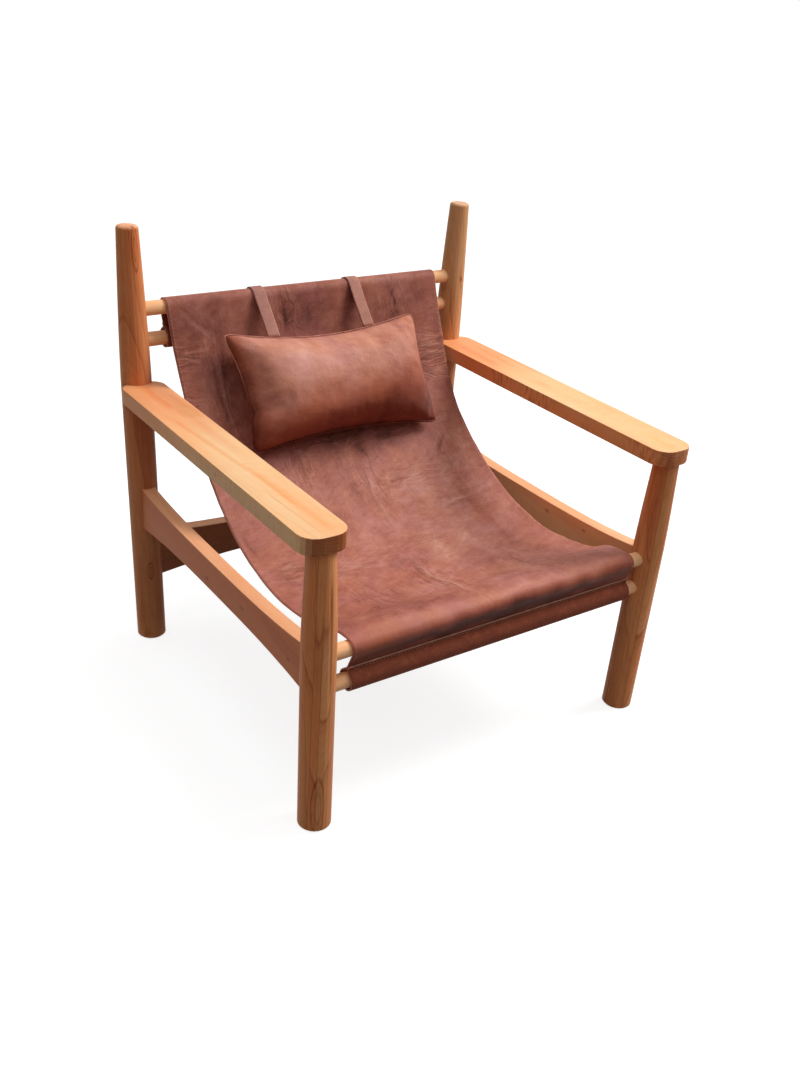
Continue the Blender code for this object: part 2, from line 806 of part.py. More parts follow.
def build():
    wood = new_material("Oiled wood", (0.43, 0.20, 0.09), 0.5)
    arm_wood = new_material("Arm wood", (0.58, 0.31, 0.15), 0.45)
    dowel_wood = new_material("Dowel wood", (0.66, 0.45, 0.27), 0.55)
    sling_leather = new_material("Sling leather", (0.19, 0.075, 0.05), 0.5)
    pillow_skin = new_material("Pillow leather", (0.24, 0.085, 0.045), 0.45)
    strap_leather = new_material("Strap leather", (0.27, 0.12, 0.085), 0.6)
    filling = new_material("Filling", (0.80, 0.78, 0.72), 0.9)
    tape = new_material("Zip tape", (0.09, 0.045, 0.03), 0.7)
    brass = new_material("Stud metal", (0.45, 0.33, 0.18), 0.35, 1)
    steel = new_material("Screw steel", (0.50, 0.50, 0.50), 0.35, 1)

    across = back_rail()
    across.build(wood)
    for label, side in sides:
        along = side_rail("side_rail_" + label, side)
        along.build(wood)
        leg = new_part("front_leg_" + label, front_leg_mesh(side), wood)
        along.mortise(leg, -1)
        for height in (front_upper_height, front_lower_height):
            socket_dowels(leg, "Dowel socket", front_y, height, side)
        post = new_part("back_post_" + label, post_mesh(side), wood)
        along.mortise(post, 1)
        across.mortise(post, side)
        for height in (back_upper_height, back_lower_height):
            socket_dowels(post, "Dowel socket", post_y(height), height, side)
        bore_post_for_screw(post, side)
        build_arm(side, label, arm_wood)
        build_arm_screw(side, label, steel, wood)
    build_dowel("back_upper_dowel", back_upper.x, back_upper.y, dowel_wood)
    build_dowel("back_lower_dowel", back_lower.x, back_lower.y, dowel_wood)
    build_dowel("front_upper_dowel", front_upper.x, front_upper.y, dowel_wood)
    build_dowel("front_lower_dowel", front_lower.x, front_lower.y, dowel_wood)

    sling = build_sling(sling_leather)
    hinge = bpy.data.objects.new("Pillow hinge", None)
    parts.objects.link(hinge)
    hinge.location = (0, back_upper.x, back_upper.y)
    bpy.context.view_layer.update()
    matrix, tops = build_pillow(hinge, pillow_skin, filling, tape)
    for (label, side), top in zip(sides, tops):
        seam = matrix @ Vector((0, top, 0))
        x = strap_shift + side * strap_spacing / 2
        strap = build_strap("pillow_strap_" + label, x, Vector((seam.y, seam.z)), strap_leather)
        hole = hole_for_stud(x)
        cut(strap, hole)
        cut(sling, hole)
        new_part("strap_stud_" + label, stud_mesh(x), brass)


clear_scene()
parts = new_collection("Sling chair")
cutters = new_collection("Cutters")
build()
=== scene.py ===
"""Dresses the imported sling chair: oiled wood, a brown leather sling and a leather head pillow.

Lengths are in metres and angles in degrees unless a name says otherwise. The chair stands on z = 0,
faces -Y and has X to its left and right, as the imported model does.
"""

import json
import math

import bmesh
import bpy
import numpy as np
from mathutils import Matrix, Vector

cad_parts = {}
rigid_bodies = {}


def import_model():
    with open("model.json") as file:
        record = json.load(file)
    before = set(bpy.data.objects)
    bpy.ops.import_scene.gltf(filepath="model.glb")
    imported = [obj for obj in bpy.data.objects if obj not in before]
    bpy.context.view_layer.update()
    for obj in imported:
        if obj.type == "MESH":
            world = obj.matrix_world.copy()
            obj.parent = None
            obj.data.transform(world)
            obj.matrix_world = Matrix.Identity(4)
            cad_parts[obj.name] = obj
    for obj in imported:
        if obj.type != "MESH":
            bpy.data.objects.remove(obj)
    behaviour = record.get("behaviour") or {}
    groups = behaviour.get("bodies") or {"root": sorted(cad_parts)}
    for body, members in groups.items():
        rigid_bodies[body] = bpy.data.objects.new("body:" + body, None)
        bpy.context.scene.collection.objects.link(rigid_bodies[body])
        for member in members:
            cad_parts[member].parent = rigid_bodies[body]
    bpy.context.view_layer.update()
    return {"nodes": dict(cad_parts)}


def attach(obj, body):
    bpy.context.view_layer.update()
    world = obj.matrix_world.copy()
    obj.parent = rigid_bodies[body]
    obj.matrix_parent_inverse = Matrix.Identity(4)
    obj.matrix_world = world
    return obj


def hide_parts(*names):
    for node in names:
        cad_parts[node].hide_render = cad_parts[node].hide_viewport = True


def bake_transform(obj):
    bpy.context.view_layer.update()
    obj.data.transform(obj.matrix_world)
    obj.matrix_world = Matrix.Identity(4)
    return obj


for leftover in list(bpy.data.objects):
    bpy.data.objects.remove(leftover, do_unlink=True)
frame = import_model()
nodes = frame["nodes"]
mm = 0.001

# Sizes repeated from the part's source
leather = 0.003
roll_radius = 0.0155
pocket_radius = 0.0175
seam_height = 0.020
flap_length = 0.009
fold_reach = 0.004
piece_gap = 0.0003
roll_gap = 0.0005
front_y = -0.33491
back_foot_y = 0.32709
post_lean = math.tan(math.radians(0.8))
leg_splay = math.tan(math.radians(1.1))
leg_half_spacing = 0.350
side_rail_height = 0.299
back_rail_height = 0.188
arm_height = 0.5375
back_upper_height = 0.686
back_lower_height = 0.628
front_upper_height = 0.329
front_lower_height = 0.270
seat_back_angle = 72.5
pillow_width = 0.424
pillow_height = 0.230
pillow_angle = 60.3
pillow_drop = 0.187
pillow_standoff = 0.0375
pillow_front_crown = 0.072
pillow_back_crown = 0.045
strap_width = 0.025
strap_thickness = 0.0025
strap_places = {"left": -0.112, "right": 0.102}
strap_tail = 0.024


def post_y(height):
    """Place of a back post's axis at a height."""
    return back_foot_y + post_lean * height


def leg_x(height):
    """Distance of a leg's axis from the middle of the chair at a height."""
    return leg_half_spacing + leg_splay * height


# Finishes: one class for a socket, one for a node tree
class Wire:
    """A node's output. Arithmetic on it adds the Math or Vector Math nodes that it needs."""

    def __init__(self, finish, socket):
        self.finish = finish
        self.socket = socket

    def work(self, operation, first, second=0):
        values = [first, second]
        vector = any(isinstance(v, Wire) and v.socket.type == "VECTOR" for v in values)
        if vector:
            values = [v if isinstance(v, (Wire, tuple)) else (v, v, v) for v in values]
        kind = "ShaderNodeVectorMath" if vector else "ShaderNodeMath"
        return self.finish.node(kind, {"operation": operation}, dict(enumerate(values)))

    def __add__(self, other):
        return self.work("ADD", self, other)

    def __radd__(self, other):
        return self.work("ADD", other, self)

    def __sub__(self, other):
        return self.work("SUBTRACT", self, other)

    def __rsub__(self, other):
        return self.work("SUBTRACT", other, self)

    def __mul__(self, other):
        return self.work("MULTIPLY", self, other)

    def __rmul__(self, other):
        return self.work("MULTIPLY", other, self)

    def __truediv__(self, other):
        return self.work("DIVIDE", self, other)

    def __rtruediv__(self, other):
        return self.work("DIVIDE", other, self)

    def __pow__(self, other):
        return self.work("POWER", self, other)

    def __abs__(self):
        return self.work("ABSOLUTE", self)

    def __neg__(self):
        return self.work("MULTIPLY", self, -1)


class Finish:
    """A material, or the world, and the nodes that make it."""

    def __init__(self, name, owner=None):
        self.owner = owner or bpy.data.materials.new(name)
        self.owner.use_nodes = True
        self.tree = self.owner.node_tree

    def node(self, kind, settings=None, inputs=None, output=0):
        """Add a node with its settings, then the values or links of its sockets."""
        node = self.tree.nodes.new(kind)
        for setting, value in (settings or {}).items():
            if setting == "stops":
                self.set_stops(node.color_ramp, value)
            else:
                setattr(node, setting, value)
        for place, value in (inputs or {}).items():
            if isinstance(value, Wire):
                self.tree.links.new(value.socket, node.inputs[place])
            else:
                node.inputs[place].default_value = value
        return Wire(self, node.outputs[output]) if node.outputs else node

    def set_stops(self, ramp, stops):
        while len(ramp.elements) < len(stops):
            ramp.elements.new(1)
        for element, (place, colour) in zip(ramp.elements, stops):
            element.position = place
        for element, (place, colour) in zip(ramp.elements, stops):
            element.color = (*colour, 1) if isinstance(colour, tuple) else (colour, colour, colour, 1)

    def feed(self, shader, **inputs):
        """Set or link inputs of the material's own shader; an underscore stands for a space."""
        for name, value in inputs.items():
            socket = self.tree.nodes[shader].inputs[name.replace("_", " ")]
            if isinstance(value, Wire):
                self.tree.links.new(value.socket, socket)
            else:
                socket.default_value = value

    # The nodes that this chair's finishes use over and over
    def place(self):
        return self.node("ShaderNodeTexCoord", output="Object")

    def facing(self):
        return self.node("ShaderNodeTexCoord", output="Normal")

    def mark(self, name):
        return self.node("ShaderNodeAttribute", {"attribute_name": name}, output="Fac")

    def mark_vector(self, name):
        return self.node("ShaderNodeAttribute", {"attribute_name": name}, output="Vector")

    def dot(self, vector, direction):
        return self.node("ShaderNodeVectorMath", {"operation": "DOT_PRODUCT"},
                         {0: vector, 1: direction}, "Value")

    def join(self, x, y, z):
        return self.node("ShaderNodeCombineXYZ", {}, {0: x, 1: y, 2: z})

    def cloud(self, vector, scale, detail=2.0, roughness=0.5, output="Fac"):
        return self.node("ShaderNodeTexNoise", {}, {"Vector": vector, "Scale": scale, "Detail": detail,
                                                    "Roughness": roughness}, output)

    def cells(self, vector, scale):
        return self.node("ShaderNodeTexVoronoi", {"feature": "F1"},
                         {"Vector": vector, "Scale": scale}, "Distance")

    def stretch(self, vector, amounts):
        return self.node("ShaderNodeVectorMath", {"operation": "MULTIPLY"}, {0: vector, 1: amounts})

    def fade(self, wire, low, high, start=0.0, stop=1.0):
        return self.node("ShaderNodeMapRange", {"interpolation_type": "SMOOTHSTEP"},
                         {0: wire, 1: low, 2: high, 3: start, 4: stop})

    def shades(self, wire, *stops):
        return self.node("ShaderNodeValToRGB", {"stops": stops}, {0: wire}, "Color")

    def level(self, wire, *stops):
        """A ramp of plain numbers."""
        return self.node("ShaderNodeSeparateColor", {}, {0: self.shades(wire, *stops)})

    def tint(self, factor, first, second, mode="MIX"):
        first, second = [(*c, 1) if isinstance(c, tuple) and len(c) == 3 else c for c in (first, second)]
        return self.node("ShaderNodeMix", {"data_type": "RGBA", "blend_type": mode},
                         {0: factor, 6: first, 7: second}, 2)

    def glaze(self, amount, colour, stain):
        """Lay a see-through tint over a colour, fully where the amount is 1; it serves for real stains and
        for painted shade.
        """
        return self.tint(amount, colour, stain, "MULTIPLY")

    def shade(self, colour, amount):
        """Multiply a colour by a number that varies."""
        grey = self.node("ShaderNodeCombineColor", {}, {0: amount, 1: amount, 2: amount})
        return self.glaze(1.0, colour, grey)

    def relief(self, height, distance, strength):
        return self.node("ShaderNodeBump", {}, {"Strength": strength, "Distance": distance, "Height": height})


main_shader = "Principled BSDF"


# Camera, light and floor
camera_place = (-1.13295, -1.56096, 1.30333)
camera_turn = (62.472, -4.148, -34.513)
camera_lens = 38.04
film_width = 36
clip_near, clip_far = 0.05, 60


def set_camera():
    camera = bpy.data.cameras.new("Camera")
    camera.sensor_fit = "AUTO"
    camera.sensor_width = film_width
    camera.lens = camera_lens
    camera.clip_start = clip_near
    camera.clip_end = clip_far
    item = bpy.data.objects.new("Camera", camera)
    bpy.context.collection.objects.link(item)
    item.location = camera_place
    item.rotation_euler = [math.radians(turn) for turn in camera_turn]
    bpy.context.scene.camera = item


sky_top = 0.95
sky_edge = 0.05
box_light = 140.0
box_light_place = (2.8, -0.6, 3.4)
box_light_size = 2.0
floor_bounce = 0.20
floor_glow = 0.82
floor_white = 0.40
floor_radius = 25
lamp_colour = (1, 0.985, 0.96)
lamp_aim = (0, 0, 0.4)


def set_world():
    world = bpy.data.worlds.new("Studio")
    bpy.context.scene.world = world
    sky = Finish("Studio", world)
    direction = sky.node("ShaderNodeTexCoord", output="Generated")
    height = sky.fade(sky.dot(direction, (0, 0, 1)), 0, 1)
    light = sky_edge + (sky_top - sky_edge) * height * height
    seen = white_to_viewer(sky)
    strength = seen + (1 - seen) * light
    sky.feed("Background", Color=(1, 1, 1, 1), Strength=strength)


def white_to_viewer(finish):
    """1 for rays from the camera and for those seen in gloss and glass, 0 for rays that light."""
    seen = [finish.node("ShaderNodeLightPath", output=ray)
            for ray in ("Is Camera Ray", "Is Glossy Ray", "Is Transmission Ray")]
    return finish.node("ShaderNodeMath", {"operation": "ADD", "use_clamp": True},
                       {0: seen[0], 1: seen[1] + seen[2]})


def set_lamp():
    lamp = bpy.data.lights.new("Soft box", "AREA")
    lamp.shape = "DISK"
    lamp.size = box_light_size
    lamp.energy = box_light
    lamp.color = lamp_colour
    item = bpy.data.objects.new("Soft box", lamp)
    bpy.context.collection.objects.link(item)
    item.location = box_light_place
    aim = Vector(lamp_aim) - item.location
    item.rotation_euler = aim.to_track_quat("-Z", "Y").to_euler()


def set_floor():
    mesh = bpy.data.meshes.new("Floor")
    disc = bmesh.new()
    bmesh.ops.create_circle(disc, cap_ends=True, segments=96, radius=floor_radius)
    disc.to_mesh(mesh)
    disc.free()
    item = bpy.data.objects.new("Floor", mesh)
    bpy.context.collection.objects.link(item)
    paint = Finish("Pale floor")
    paint.tree.nodes.remove(paint.tree.nodes[main_shader])
    dull = paint.node("ShaderNodeBsdfDiffuse", {}, {"Color": (floor_bounce,) * 3 + (1,)})
    pale = paint.node("ShaderNodeBsdfDiffuse", {}, {"Color": (floor_white,) * 3 + (1,)})
    glow = paint.node("ShaderNodeEmission", {}, {"Color": (1, 1, 1, 1), "Strength": floor_glow})
    white = paint.node("ShaderNodeAddShader", {}, {0: pale, 1: glow})
    both = paint.node("ShaderNodeMixShader", {}, {0: white_to_viewer(paint), 1: dull, 2: white})
    paint.feed("Material Output", Surface=both)
    mesh.materials.append(paint.owner)


# Wood
# A knot reaches further along the grain and into the wood; these weigh the squares of those ways
knot_long, knot_deep = 0.36, 0.1225
log_bend = 0.034
streak_fade = 0.03
line_tint = (0.44, 0.24, 0.18)
rosy_cast = (1.03, 0.94, 0.89)
olive_cast = (0.98, 1.03, 1.04)
end_tint = (0.80, 0.62, 0.60)


def square_out(spot, centre, along):
    """Direction square to the grain from the middle of a piece out to a place on its face."""
    out = Vector(spot) - Vector(centre)
    return tuple((out - along * along.dot(out)).normalized())


def total(marks):
    """Sum of the marks, or None where there are none."""
    marks = list(marks)
    return sum(marks[1:], marks[0]) if marks else None


def wood(name, centre, along, across, shades, ring=0.016, heart=(0.045, 0.030), tilt=(0.03, 0.05),
         lines=0.4, bands=0.5, curl=0.0, strands=0.32, knots=(), loops=(), staves=(), streaks=(), flush=None,
         sides=None, end_grain=end_tint, casts=(rosy_cast, olive_cast), roughness=0.5):
    """Oiled wood cut from its own log.

    centre      middle of the piece, from which the grain is measured
    along       direction of the grain, and across a direction square to it
    shades      colours from dark to light
    ring        width of a year
    heart       the log's middle in the piece's cross-section, and tilt how fast it leaves the piece
    lines       strength of the years' dark lines; bands, curl and strands that of the broader changes
    knots       (place, radius, depth)
    loops       years cut lengthwise: (place, half-width, half-length, depth)
    staves      glue lines, past which the tone changes: (direction, place, lift)
    streaks     stripes along the grain: (across, slope, half-width, start, stop, tint)
    flush       (start, stop, tint) for a change of colour along the piece
    sides       (tint, bars) for the faces that stand upright; the tint is painted shade that keeps them darker than the tops
    end_grain   tint of the cut ends
    casts       the two tints between which the hue wanders
    """
    finish = Finish(name)
    along = Vector(along).normalized()
    across = (Vector(across) - along * along.dot(Vector(across))).normalized()
    third = along.cross(across)
    seed = sum(ord(letter) * (i + 1) for i, letter in enumerate(name)) % 97
    place = finish.place() - tuple(centre)
    a = finish.dot(place, tuple(along))
    u = finish.dot(place, tuple(across))
    v = finish.dot(place, tuple(third))
    length, width = a, u

    lifts, seams, marks = [], [], []
    for direction, edge, lift in staves:
        past = finish.dot(finish.place(), direction) - edge
        side = finish.fade(past, -0.0004, 0.0004)
        lifts.append(side * lift)
        seams.append(finish.fade(abs(past), 0.0003, 0.0011, 0.34, 0.0))
        a = a + side * 0.37
        u = u + side * 0.011

    def patches(across_scale, along_scale, shift=0, detail=2.0, rough=0.5):
        """A cloud drawn out along the grain; the scales are how fast it changes."""
        run = a * along_scale + shift if shift else a * along_scale
        return finish.cloud(finish.join(u * across_scale, v * across_scale, run), 1.0, detail, rough)

    grain = finish.join(u * 9.0 + seed, v * 9.0, a * 3.2)
    warp = finish.cloud(grain, 1.0, 2.0, 0.5, "Color") - 0.5
    bend_u, bend_v = [finish.dot(warp, axis) * log_bend for axis in ((1, 0, 0), (0, 1, 0))]
    log_u = u + bend_u - heart[0] - a * tilt[0]
    log_v = v + bend_v - heart[1] - a * tilt[1]

    def away_from(spot, *directions):
        """How far a place lies from a spot, in each direction."""
        away = finish.place() - tuple(spot)
        return [finish.dot(away, tuple(direction)) for direction in directions]

    for spot, radius, depth in knots:
        knot_a, knot_u, knot_v = away_from(spot, along, across, third)
        distance = (knot_a * knot_a * knot_long + knot_u * knot_u + knot_v * knot_v * knot_deep) ** 0.5
        marks.append(finish.fade(distance, radius * 0.35, radius, depth, 0.0))
        log_u = log_u + finish.fade(distance, 0.0, radius * 5, radius * 1.6, 0.0)

    wander = patches(40.0, 9.0, seed, rough=0.55) - 0.5
    for spot, half_width, half_length, depth in loops:
        loop_a, loop_u, outward = away_from(spot, along, across, square_out(spot, centre, along))
        loop_a, loop_u = loop_a / half_length, loop_u / half_width
        near = finish.fade(outward, -0.016, -0.008)
        oval = (loop_a * loop_a + loop_u * loop_u) ** 0.5 + wander * 0.25
        outer = finish.fade(abs(oval - 1.0), 0.0, 0.20, depth, 0.0)
        inner = finish.fade(abs(oval - 0.5), 0.0, 0.16, depth * 0.5, 0.0)
        filled = finish.fade(oval, 0.7, 1.0, depth * 0.22, 0.0)
        marks.append((outer + inner + filled) * near)

    rings = (log_u * log_u + log_v * log_v) ** 0.5 / ring + wander * 0.16
    step = finish.node("ShaderNodeMath", {"operation": "FLOOR"}, {0: rings})
    year = finish.node("ShaderNodeTexWhiteNoise", {"noise_dimensions": "1D"}, {"W": step + seed}, "Value")
    contour = finish.level(rings - step, (0.0, 0.30), (0.05, 0.0), (0.62, 0.10), (0.88, 0.45), (0.955, 1.0),
                           (1.0, 0.30))
    thin = rings * 5.0 + wander
    thin = finish.level(thin - finish.node("ShaderNodeMath", {"operation": "FLOOR"}, {0: thin}),
                        (0.0, 0.1), (0.3, 0.0), (0.85, 0.8), (1.0, 0.1))
    strength = finish.fade(patches(30.0, 4.0, seed * 3, 1.0), 0.35, 0.62, 0.25, 1.0)
    late = contour * strength + thin * 0.22

    broad = patches(20.0, 2.2, seed * 2, 3.0, 0.55)
    fibre = patches(620.0, 14.0, rough=0.6)
    strand = patches(120.0, 3.5, seed, 3.0, 0.55)
    pore = finish.fade(patches(1100.0, 75.0, detail=1.0), 0.66, 0.76)
    ripple = finish.cloud(finish.join(u * 14.0, v * 14.0, a * 70.0 + u * 25.0 + wander * 3.0), 1.0, 2.0, 0.5)

    tone = (broad - 0.5) * (1.7 * bands) + (year - 0.5) * (0.40 * bands) + (strand - 0.5) * strands
    tone = tone + (fibre - 0.5) * 0.28 + (ripple - 0.5) * (0.12 + curl) + 0.5
    if lifts:
        tone = tone + total(lifts)
    count = len(shades) - 1
    colour = finish.shades(tone, *[(i / count, shade) for i, shade in enumerate(shades)])
    cast = finish.fade(patches(15.0, 3.0, seed * 5), 0.35, 0.65)
    colour = finish.glaze(1.0, colour, finish.tint(cast, *casts))
    darken = late * (0.50 * lines) + pore * 0.18
    if seams + marks:
        darken = darken + total(seams + marks)
    colour = finish.glaze(darken, colour, line_tint)
    for middle, slope, half_width, start, stop, stripe in streaks:
        away = abs(width - middle - length * slope + (broad - 0.5) * (half_width * 2))
        begun = finish.fade(length, start - streak_fade, start + streak_fade)
        ended = finish.fade(length, stop - streak_fade, stop + streak_fade, 1.0, 0.0)
        mark = finish.fade(away, 0.0, half_width, 1.0, 0.0) * begun * ended
        colour = finish.glaze(mark * finish.fade(strand, 0.25, 0.6, 0.45, 1.0), colour, stripe)
    if flush:
        start, stop, blush = flush
        colour = finish.glaze(finish.fade(a + (broad - 0.5) * 0.35, start, stop), colour, blush)
    # Painted shade: upright faces take the sides tint, darker than the tops that face the light; the bars are
    # the wood's figure.
    if sides:
        upright_shade_tint, bars = sides
        upright = finish.fade(abs(finish.dot(finish.facing(), (0, 0, 1))), 0.35, 0.7, 1.0, 0.0)
        strips = finish.fade(patches(25.0, 130.0), 0.44, 0.66)
        patchy = finish.fade(patches(5.0, 7.0, seed, 1.0), 0.42, 0.58)
        barred = finish.glaze(strips * patchy * bars, colour, line_tint)
        colour = finish.tint(upright, colour, finish.glaze(1.0, barred, upright_shade_tint))
    end = finish.fade(abs(finish.dot(finish.facing(), tuple(along))), 0.20, 0.95)
    speck = patches(900.0, 900.0, detail=1.0)
    cut = finish.glaze(1.0, finish.shade(colour, 1 + (speck - 0.5) * 0.8 - thin * 0.22), end_grain)
    colour = finish.tint(end, colour, cut)
    finish.feed(main_shader, Base_Color=colour, Specular_IOR_Level=0.11,
                Roughness=roughness + (fibre - 0.5) * 0.18 + end * 0.15,
                Normal=finish.relief(fibre * 0.5 - pore - contour * 0.2, 0.00018, 0.7))
    return finish.owner


brown = ((0.44, 0.118, 0.040), (0.70, 0.226, 0.080), (0.84, 0.325, 0.122), (0.92, 0.455, 0.200))
tan = ((0.46, 0.175, 0.066), (0.65, 0.290, 0.122), (0.75, 0.370, 0.168), (0.83, 0.475, 0.250))
amber = ((0.80, 0.350, 0.155), (0.93, 0.490, 0.230), (0.96, 0.580, 0.305), (0.98, 0.670, 0.400))
blond = ((0.92, 0.470, 0.245), (0.99, 0.590, 0.330), (1.00, 0.670, 0.400), (1.00, 0.740, 0.480))
peach = ((0.84, 0.370, 0.185), (0.95, 0.485, 0.260), (0.99, 0.590, 0.355), (1.00, 0.690, 0.460))


def finish_node(name, material):
    item = nodes[name]
    item.data.shade_smooth()
    item.data.set_sharp_from_angle(angle=math.radians(35))
    item.data.materials.clear()
    item.data.materials.append(material)


# What sets the left and the right piece of a pair apart
# The rails' and arms' sides tints below are painted shade on their upright faces.
pair_wood = {
    "left": {
        "leg": dict(
            strands=0.5,
            staves=(((0.81, -0.59, 0), -0.0955, 0.06), ((0.81, -0.59, 0), -0.083, 0.14)),
            streaks=((0.006, 0.0, 0.004, 0.28, 0.47, (0.62, 0.42, 0.34)),),
            loops=(((-0.3610, -0.3620, 0.050), 0.010, 0.060, 0.55),)),
        "post": dict(
            shades=brown, casts=((1.06, 1.0, 0.98), (1.0, 1.07, 1.13)), end_grain=(1.30, 1.85, 2.8),
            loops=(((-0.3611, 0.3182, 0.800), 0.0060, 0.038, 0.62),
                   ((-0.3585, 0.3039, 0.160), 0.0056, 0.018, 0.70))),
        "rail": dict(sides=((0.74, 0.465, 0.37), 0.0)),
        "rail_knots": ((-0.265, 0.288, 0.0045, 0.55), (-0.105, 0.297, 0.0065, 0.35),
                       (0.025, 0.288, 0.0055, 0.55)),
        "arm": dict(
            sides=((0.98, 0.92, 0.84), 0.12), end_grain=(0.44, 0.24, 0.18),
            streaks=((0.004, 0.0, 0.010, -0.34, -0.10, (0.98, 0.84, 0.70)),
                     (0.002, 0.01, 0.004, -0.25, -0.13, (0.97, 0.74, 0.54)),
                     (-0.007, -0.07, 0.009, -0.13, 0.14, (0.97, 0.78, 0.66)),
                     (-0.0235, -0.03, 0.0009, -0.34, -0.20, (0.62, 0.45, 0.36)),
                     (0.020, 0.0, 0.015, -0.03, 0.12, (0.97, 0.84, 0.82)),
                     (0.002, 0.0, 0.013, 0.18, 0.29, (0.92, 0.74, 0.60)))),
        "arm_knots": ((-0.075, 0.538, 0.0017, 0.5),)},
    "right": {
        "leg": dict(
            strands=0.75,
            staves=(((0.77, -0.64, 0), 0.492, 0.16),),
            streaks=((0.004, 0.0, 0.004, 0.30, 0.50, (0.72, 0.50, 0.42)),)),
        "post": dict(shades=tan, end_grain=(1.12, 1.3, 1.8), knots=(((0.368, 0.3126, 0.683), 0.0050, 0.60),)),
        "rail": dict(sides=((0.97, 0.76, 0.64), 0.0)),
        "rail_knots": ((-0.18, 0.313, 0.0045, 0.55), (-0.072, 0.308, 0.006, 0.55)),
        "arm": dict(
            sides=((0.97, 0.72, 0.58), 0.55), end_grain=(0.79, 0.72, 0.77),
            streaks=((-0.006, 0.0, 0.020, -0.01, 0.02, (0.97, 0.78, 0.70)),
                     (-0.020, 0.0, 0.014, 0.13, 0.28, (0.97, 0.76, 0.68)),
                     (0.010, 0.0, 0.010, 0.12, 0.24, (0.97, 0.84, 0.72)),
                     (0.004, 0.0, 0.012, -0.33, -0.28, (1.00, 0.94, 0.78)))),
        "arm_knots": ()}}
rail_half_thickness = 0.013
arm_half_width = 0.0407
steel_grey = (0.50, 0.50, 0.50, 1)


def knots_on_face(x, knots):
    """Knots given as (y, z, radius, depth), put on an upright face."""
    return tuple(((x, y, z), radius, depth) for y, z, radius, depth in knots)


# How each kind of piece is cut: its colours, rings, heart and tilt, and the strength of what shows
leg_cut = dict(shades=brown, ring=0.013, heart=(0.030, 0.050), tilt=(0.03, 0.06), lines=1.15, bands=0.6)
# The posts' broad streak over their lower half is a painted shadow under the arms.
post_cut = dict(ring=0.014, heart=(0.040, 0.045), tilt=(-0.02, -0.05), lines=1.1, bands=0.55, strands=0.45,
                streaks=((0.0, 0.0, 0.09, 0.03, 0.50, (0.76, 0.66, 0.66)),))
side_rail_cut = dict(shades=peach, ring=0.022, heart=(0.03, 0.08), tilt=(0.08, 0.02), lines=0.45, bands=0.45,
                     casts=((1.03, 0.94, 0.88), (1.02, 0.98, 0.92)))
# The back rail's dark sides tint is painted shade on its faces under the sling.
back_rail_cut = dict(shades=peach, ring=0.020, heart=(0.03, 0.07), tilt=(0.05, 0.02), lines=0.5, bands=0.5,
                     sides=((0.45, 0.29, 0.22), 0.0))
arm_cut = dict(shades=amber, ring=0.026, heart=(0.015, -0.070), tilt=(0.03, 0.03), lines=0.35, bands=0.50,
               curl=0.22, flush=(0.0, 0.22, (0.93, 0.72, 0.64)), roughness=0.46)
dowel_cut = dict(shades=blond, ring=0.009, heart=(0.012, 0.020), tilt=(0.05, 0.04), lines=0.55, bands=0.35,
                 end_grain=(0.86, 0.70, 0.58), casts=((1.06, 0.93, 0.83), (1.05, 0.96, 0.87)), roughness=0.55)
sideways, upward = (1, 0, 0), (0, 0, 1)


def finish_pair(label, side):
    own = pair_wood[label]
    leg_foot = (side * leg_half_spacing, front_y, 0)
    post_foot = (side * leg_half_spacing, back_foot_y, 0)
    leg_run = (side * leg_splay, 0, 1)
    post_run = (side * leg_splay, post_lean, 1)
    rail_x = side * leg_x(side_rail_height)
    rail_middle = (rail_x, 0, side_rail_height)
    rail_knots = knots_on_face(rail_x - rail_half_thickness, own["rail_knots"])
    arm_x = side * leg_x(arm_height)
    arm_middle = (arm_x, 0, arm_height)
    arm_knots = knots_on_face(arm_x - arm_half_width, own["arm_knots"])
    leg = wood("Front leg, " + label, leg_foot, leg_run, sideways, **leg_cut, **own["leg"])
    post = wood("Back post, " + label, post_foot, post_run, sideways, **post_cut, **own["post"])
    rail = wood("Side rail, " + label, rail_middle, (0, 1, 0.03), upward, knots=rail_knots, **side_rail_cut,
                **own["rail"])
    arm = wood("Arm, " + label, arm_middle, (0.02 * side, 1, 0), sideways, knots=arm_knots, **arm_cut,
               **own["arm"])
    plug = wood("Plug, " + label, post_foot, (1, 0, 0.1), upward, brown)
    steel = Finish("Screw steel, " + label)
    steel.feed(main_shader, Base_Color=steel_grey, Metallic=1, Roughness=0.35)
    finish_node("front_leg_" + label, leg)
    finish_node("back_post_" + label, post)
    finish_node("side_rail_" + label, rail)
    finish_node("arm_" + label, arm)
    finish_node("arm_screw_plug_" + label, plug)
    finish_node("arm_screw_" + label, steel.owner)


def finish_wood():
    finish_pair("left", -1)
    finish_pair("right", 1)
    back_middle = (0, post_y(back_rail_height), back_rail_height)
    finish_node("back_rail", wood("Back rail", back_middle, (1, 0, 0.02), upward, **back_rail_cut))
    for name, y, height in (("back_upper_dowel", post_y(back_upper_height), back_upper_height),
                            ("back_lower_dowel", post_y(back_lower_height), back_lower_height),
                            ("front_upper_dowel", front_y, front_upper_height),
                            ("front_lower_dowel", front_y, front_lower_height)):
        title = name.replace("_", " ").capitalize()
        finish_node(name, wood(title, (0, y, height), (1, 0.015, 0.01), upward, **dowel_cut))


# Leather
brush_slant = 0.5


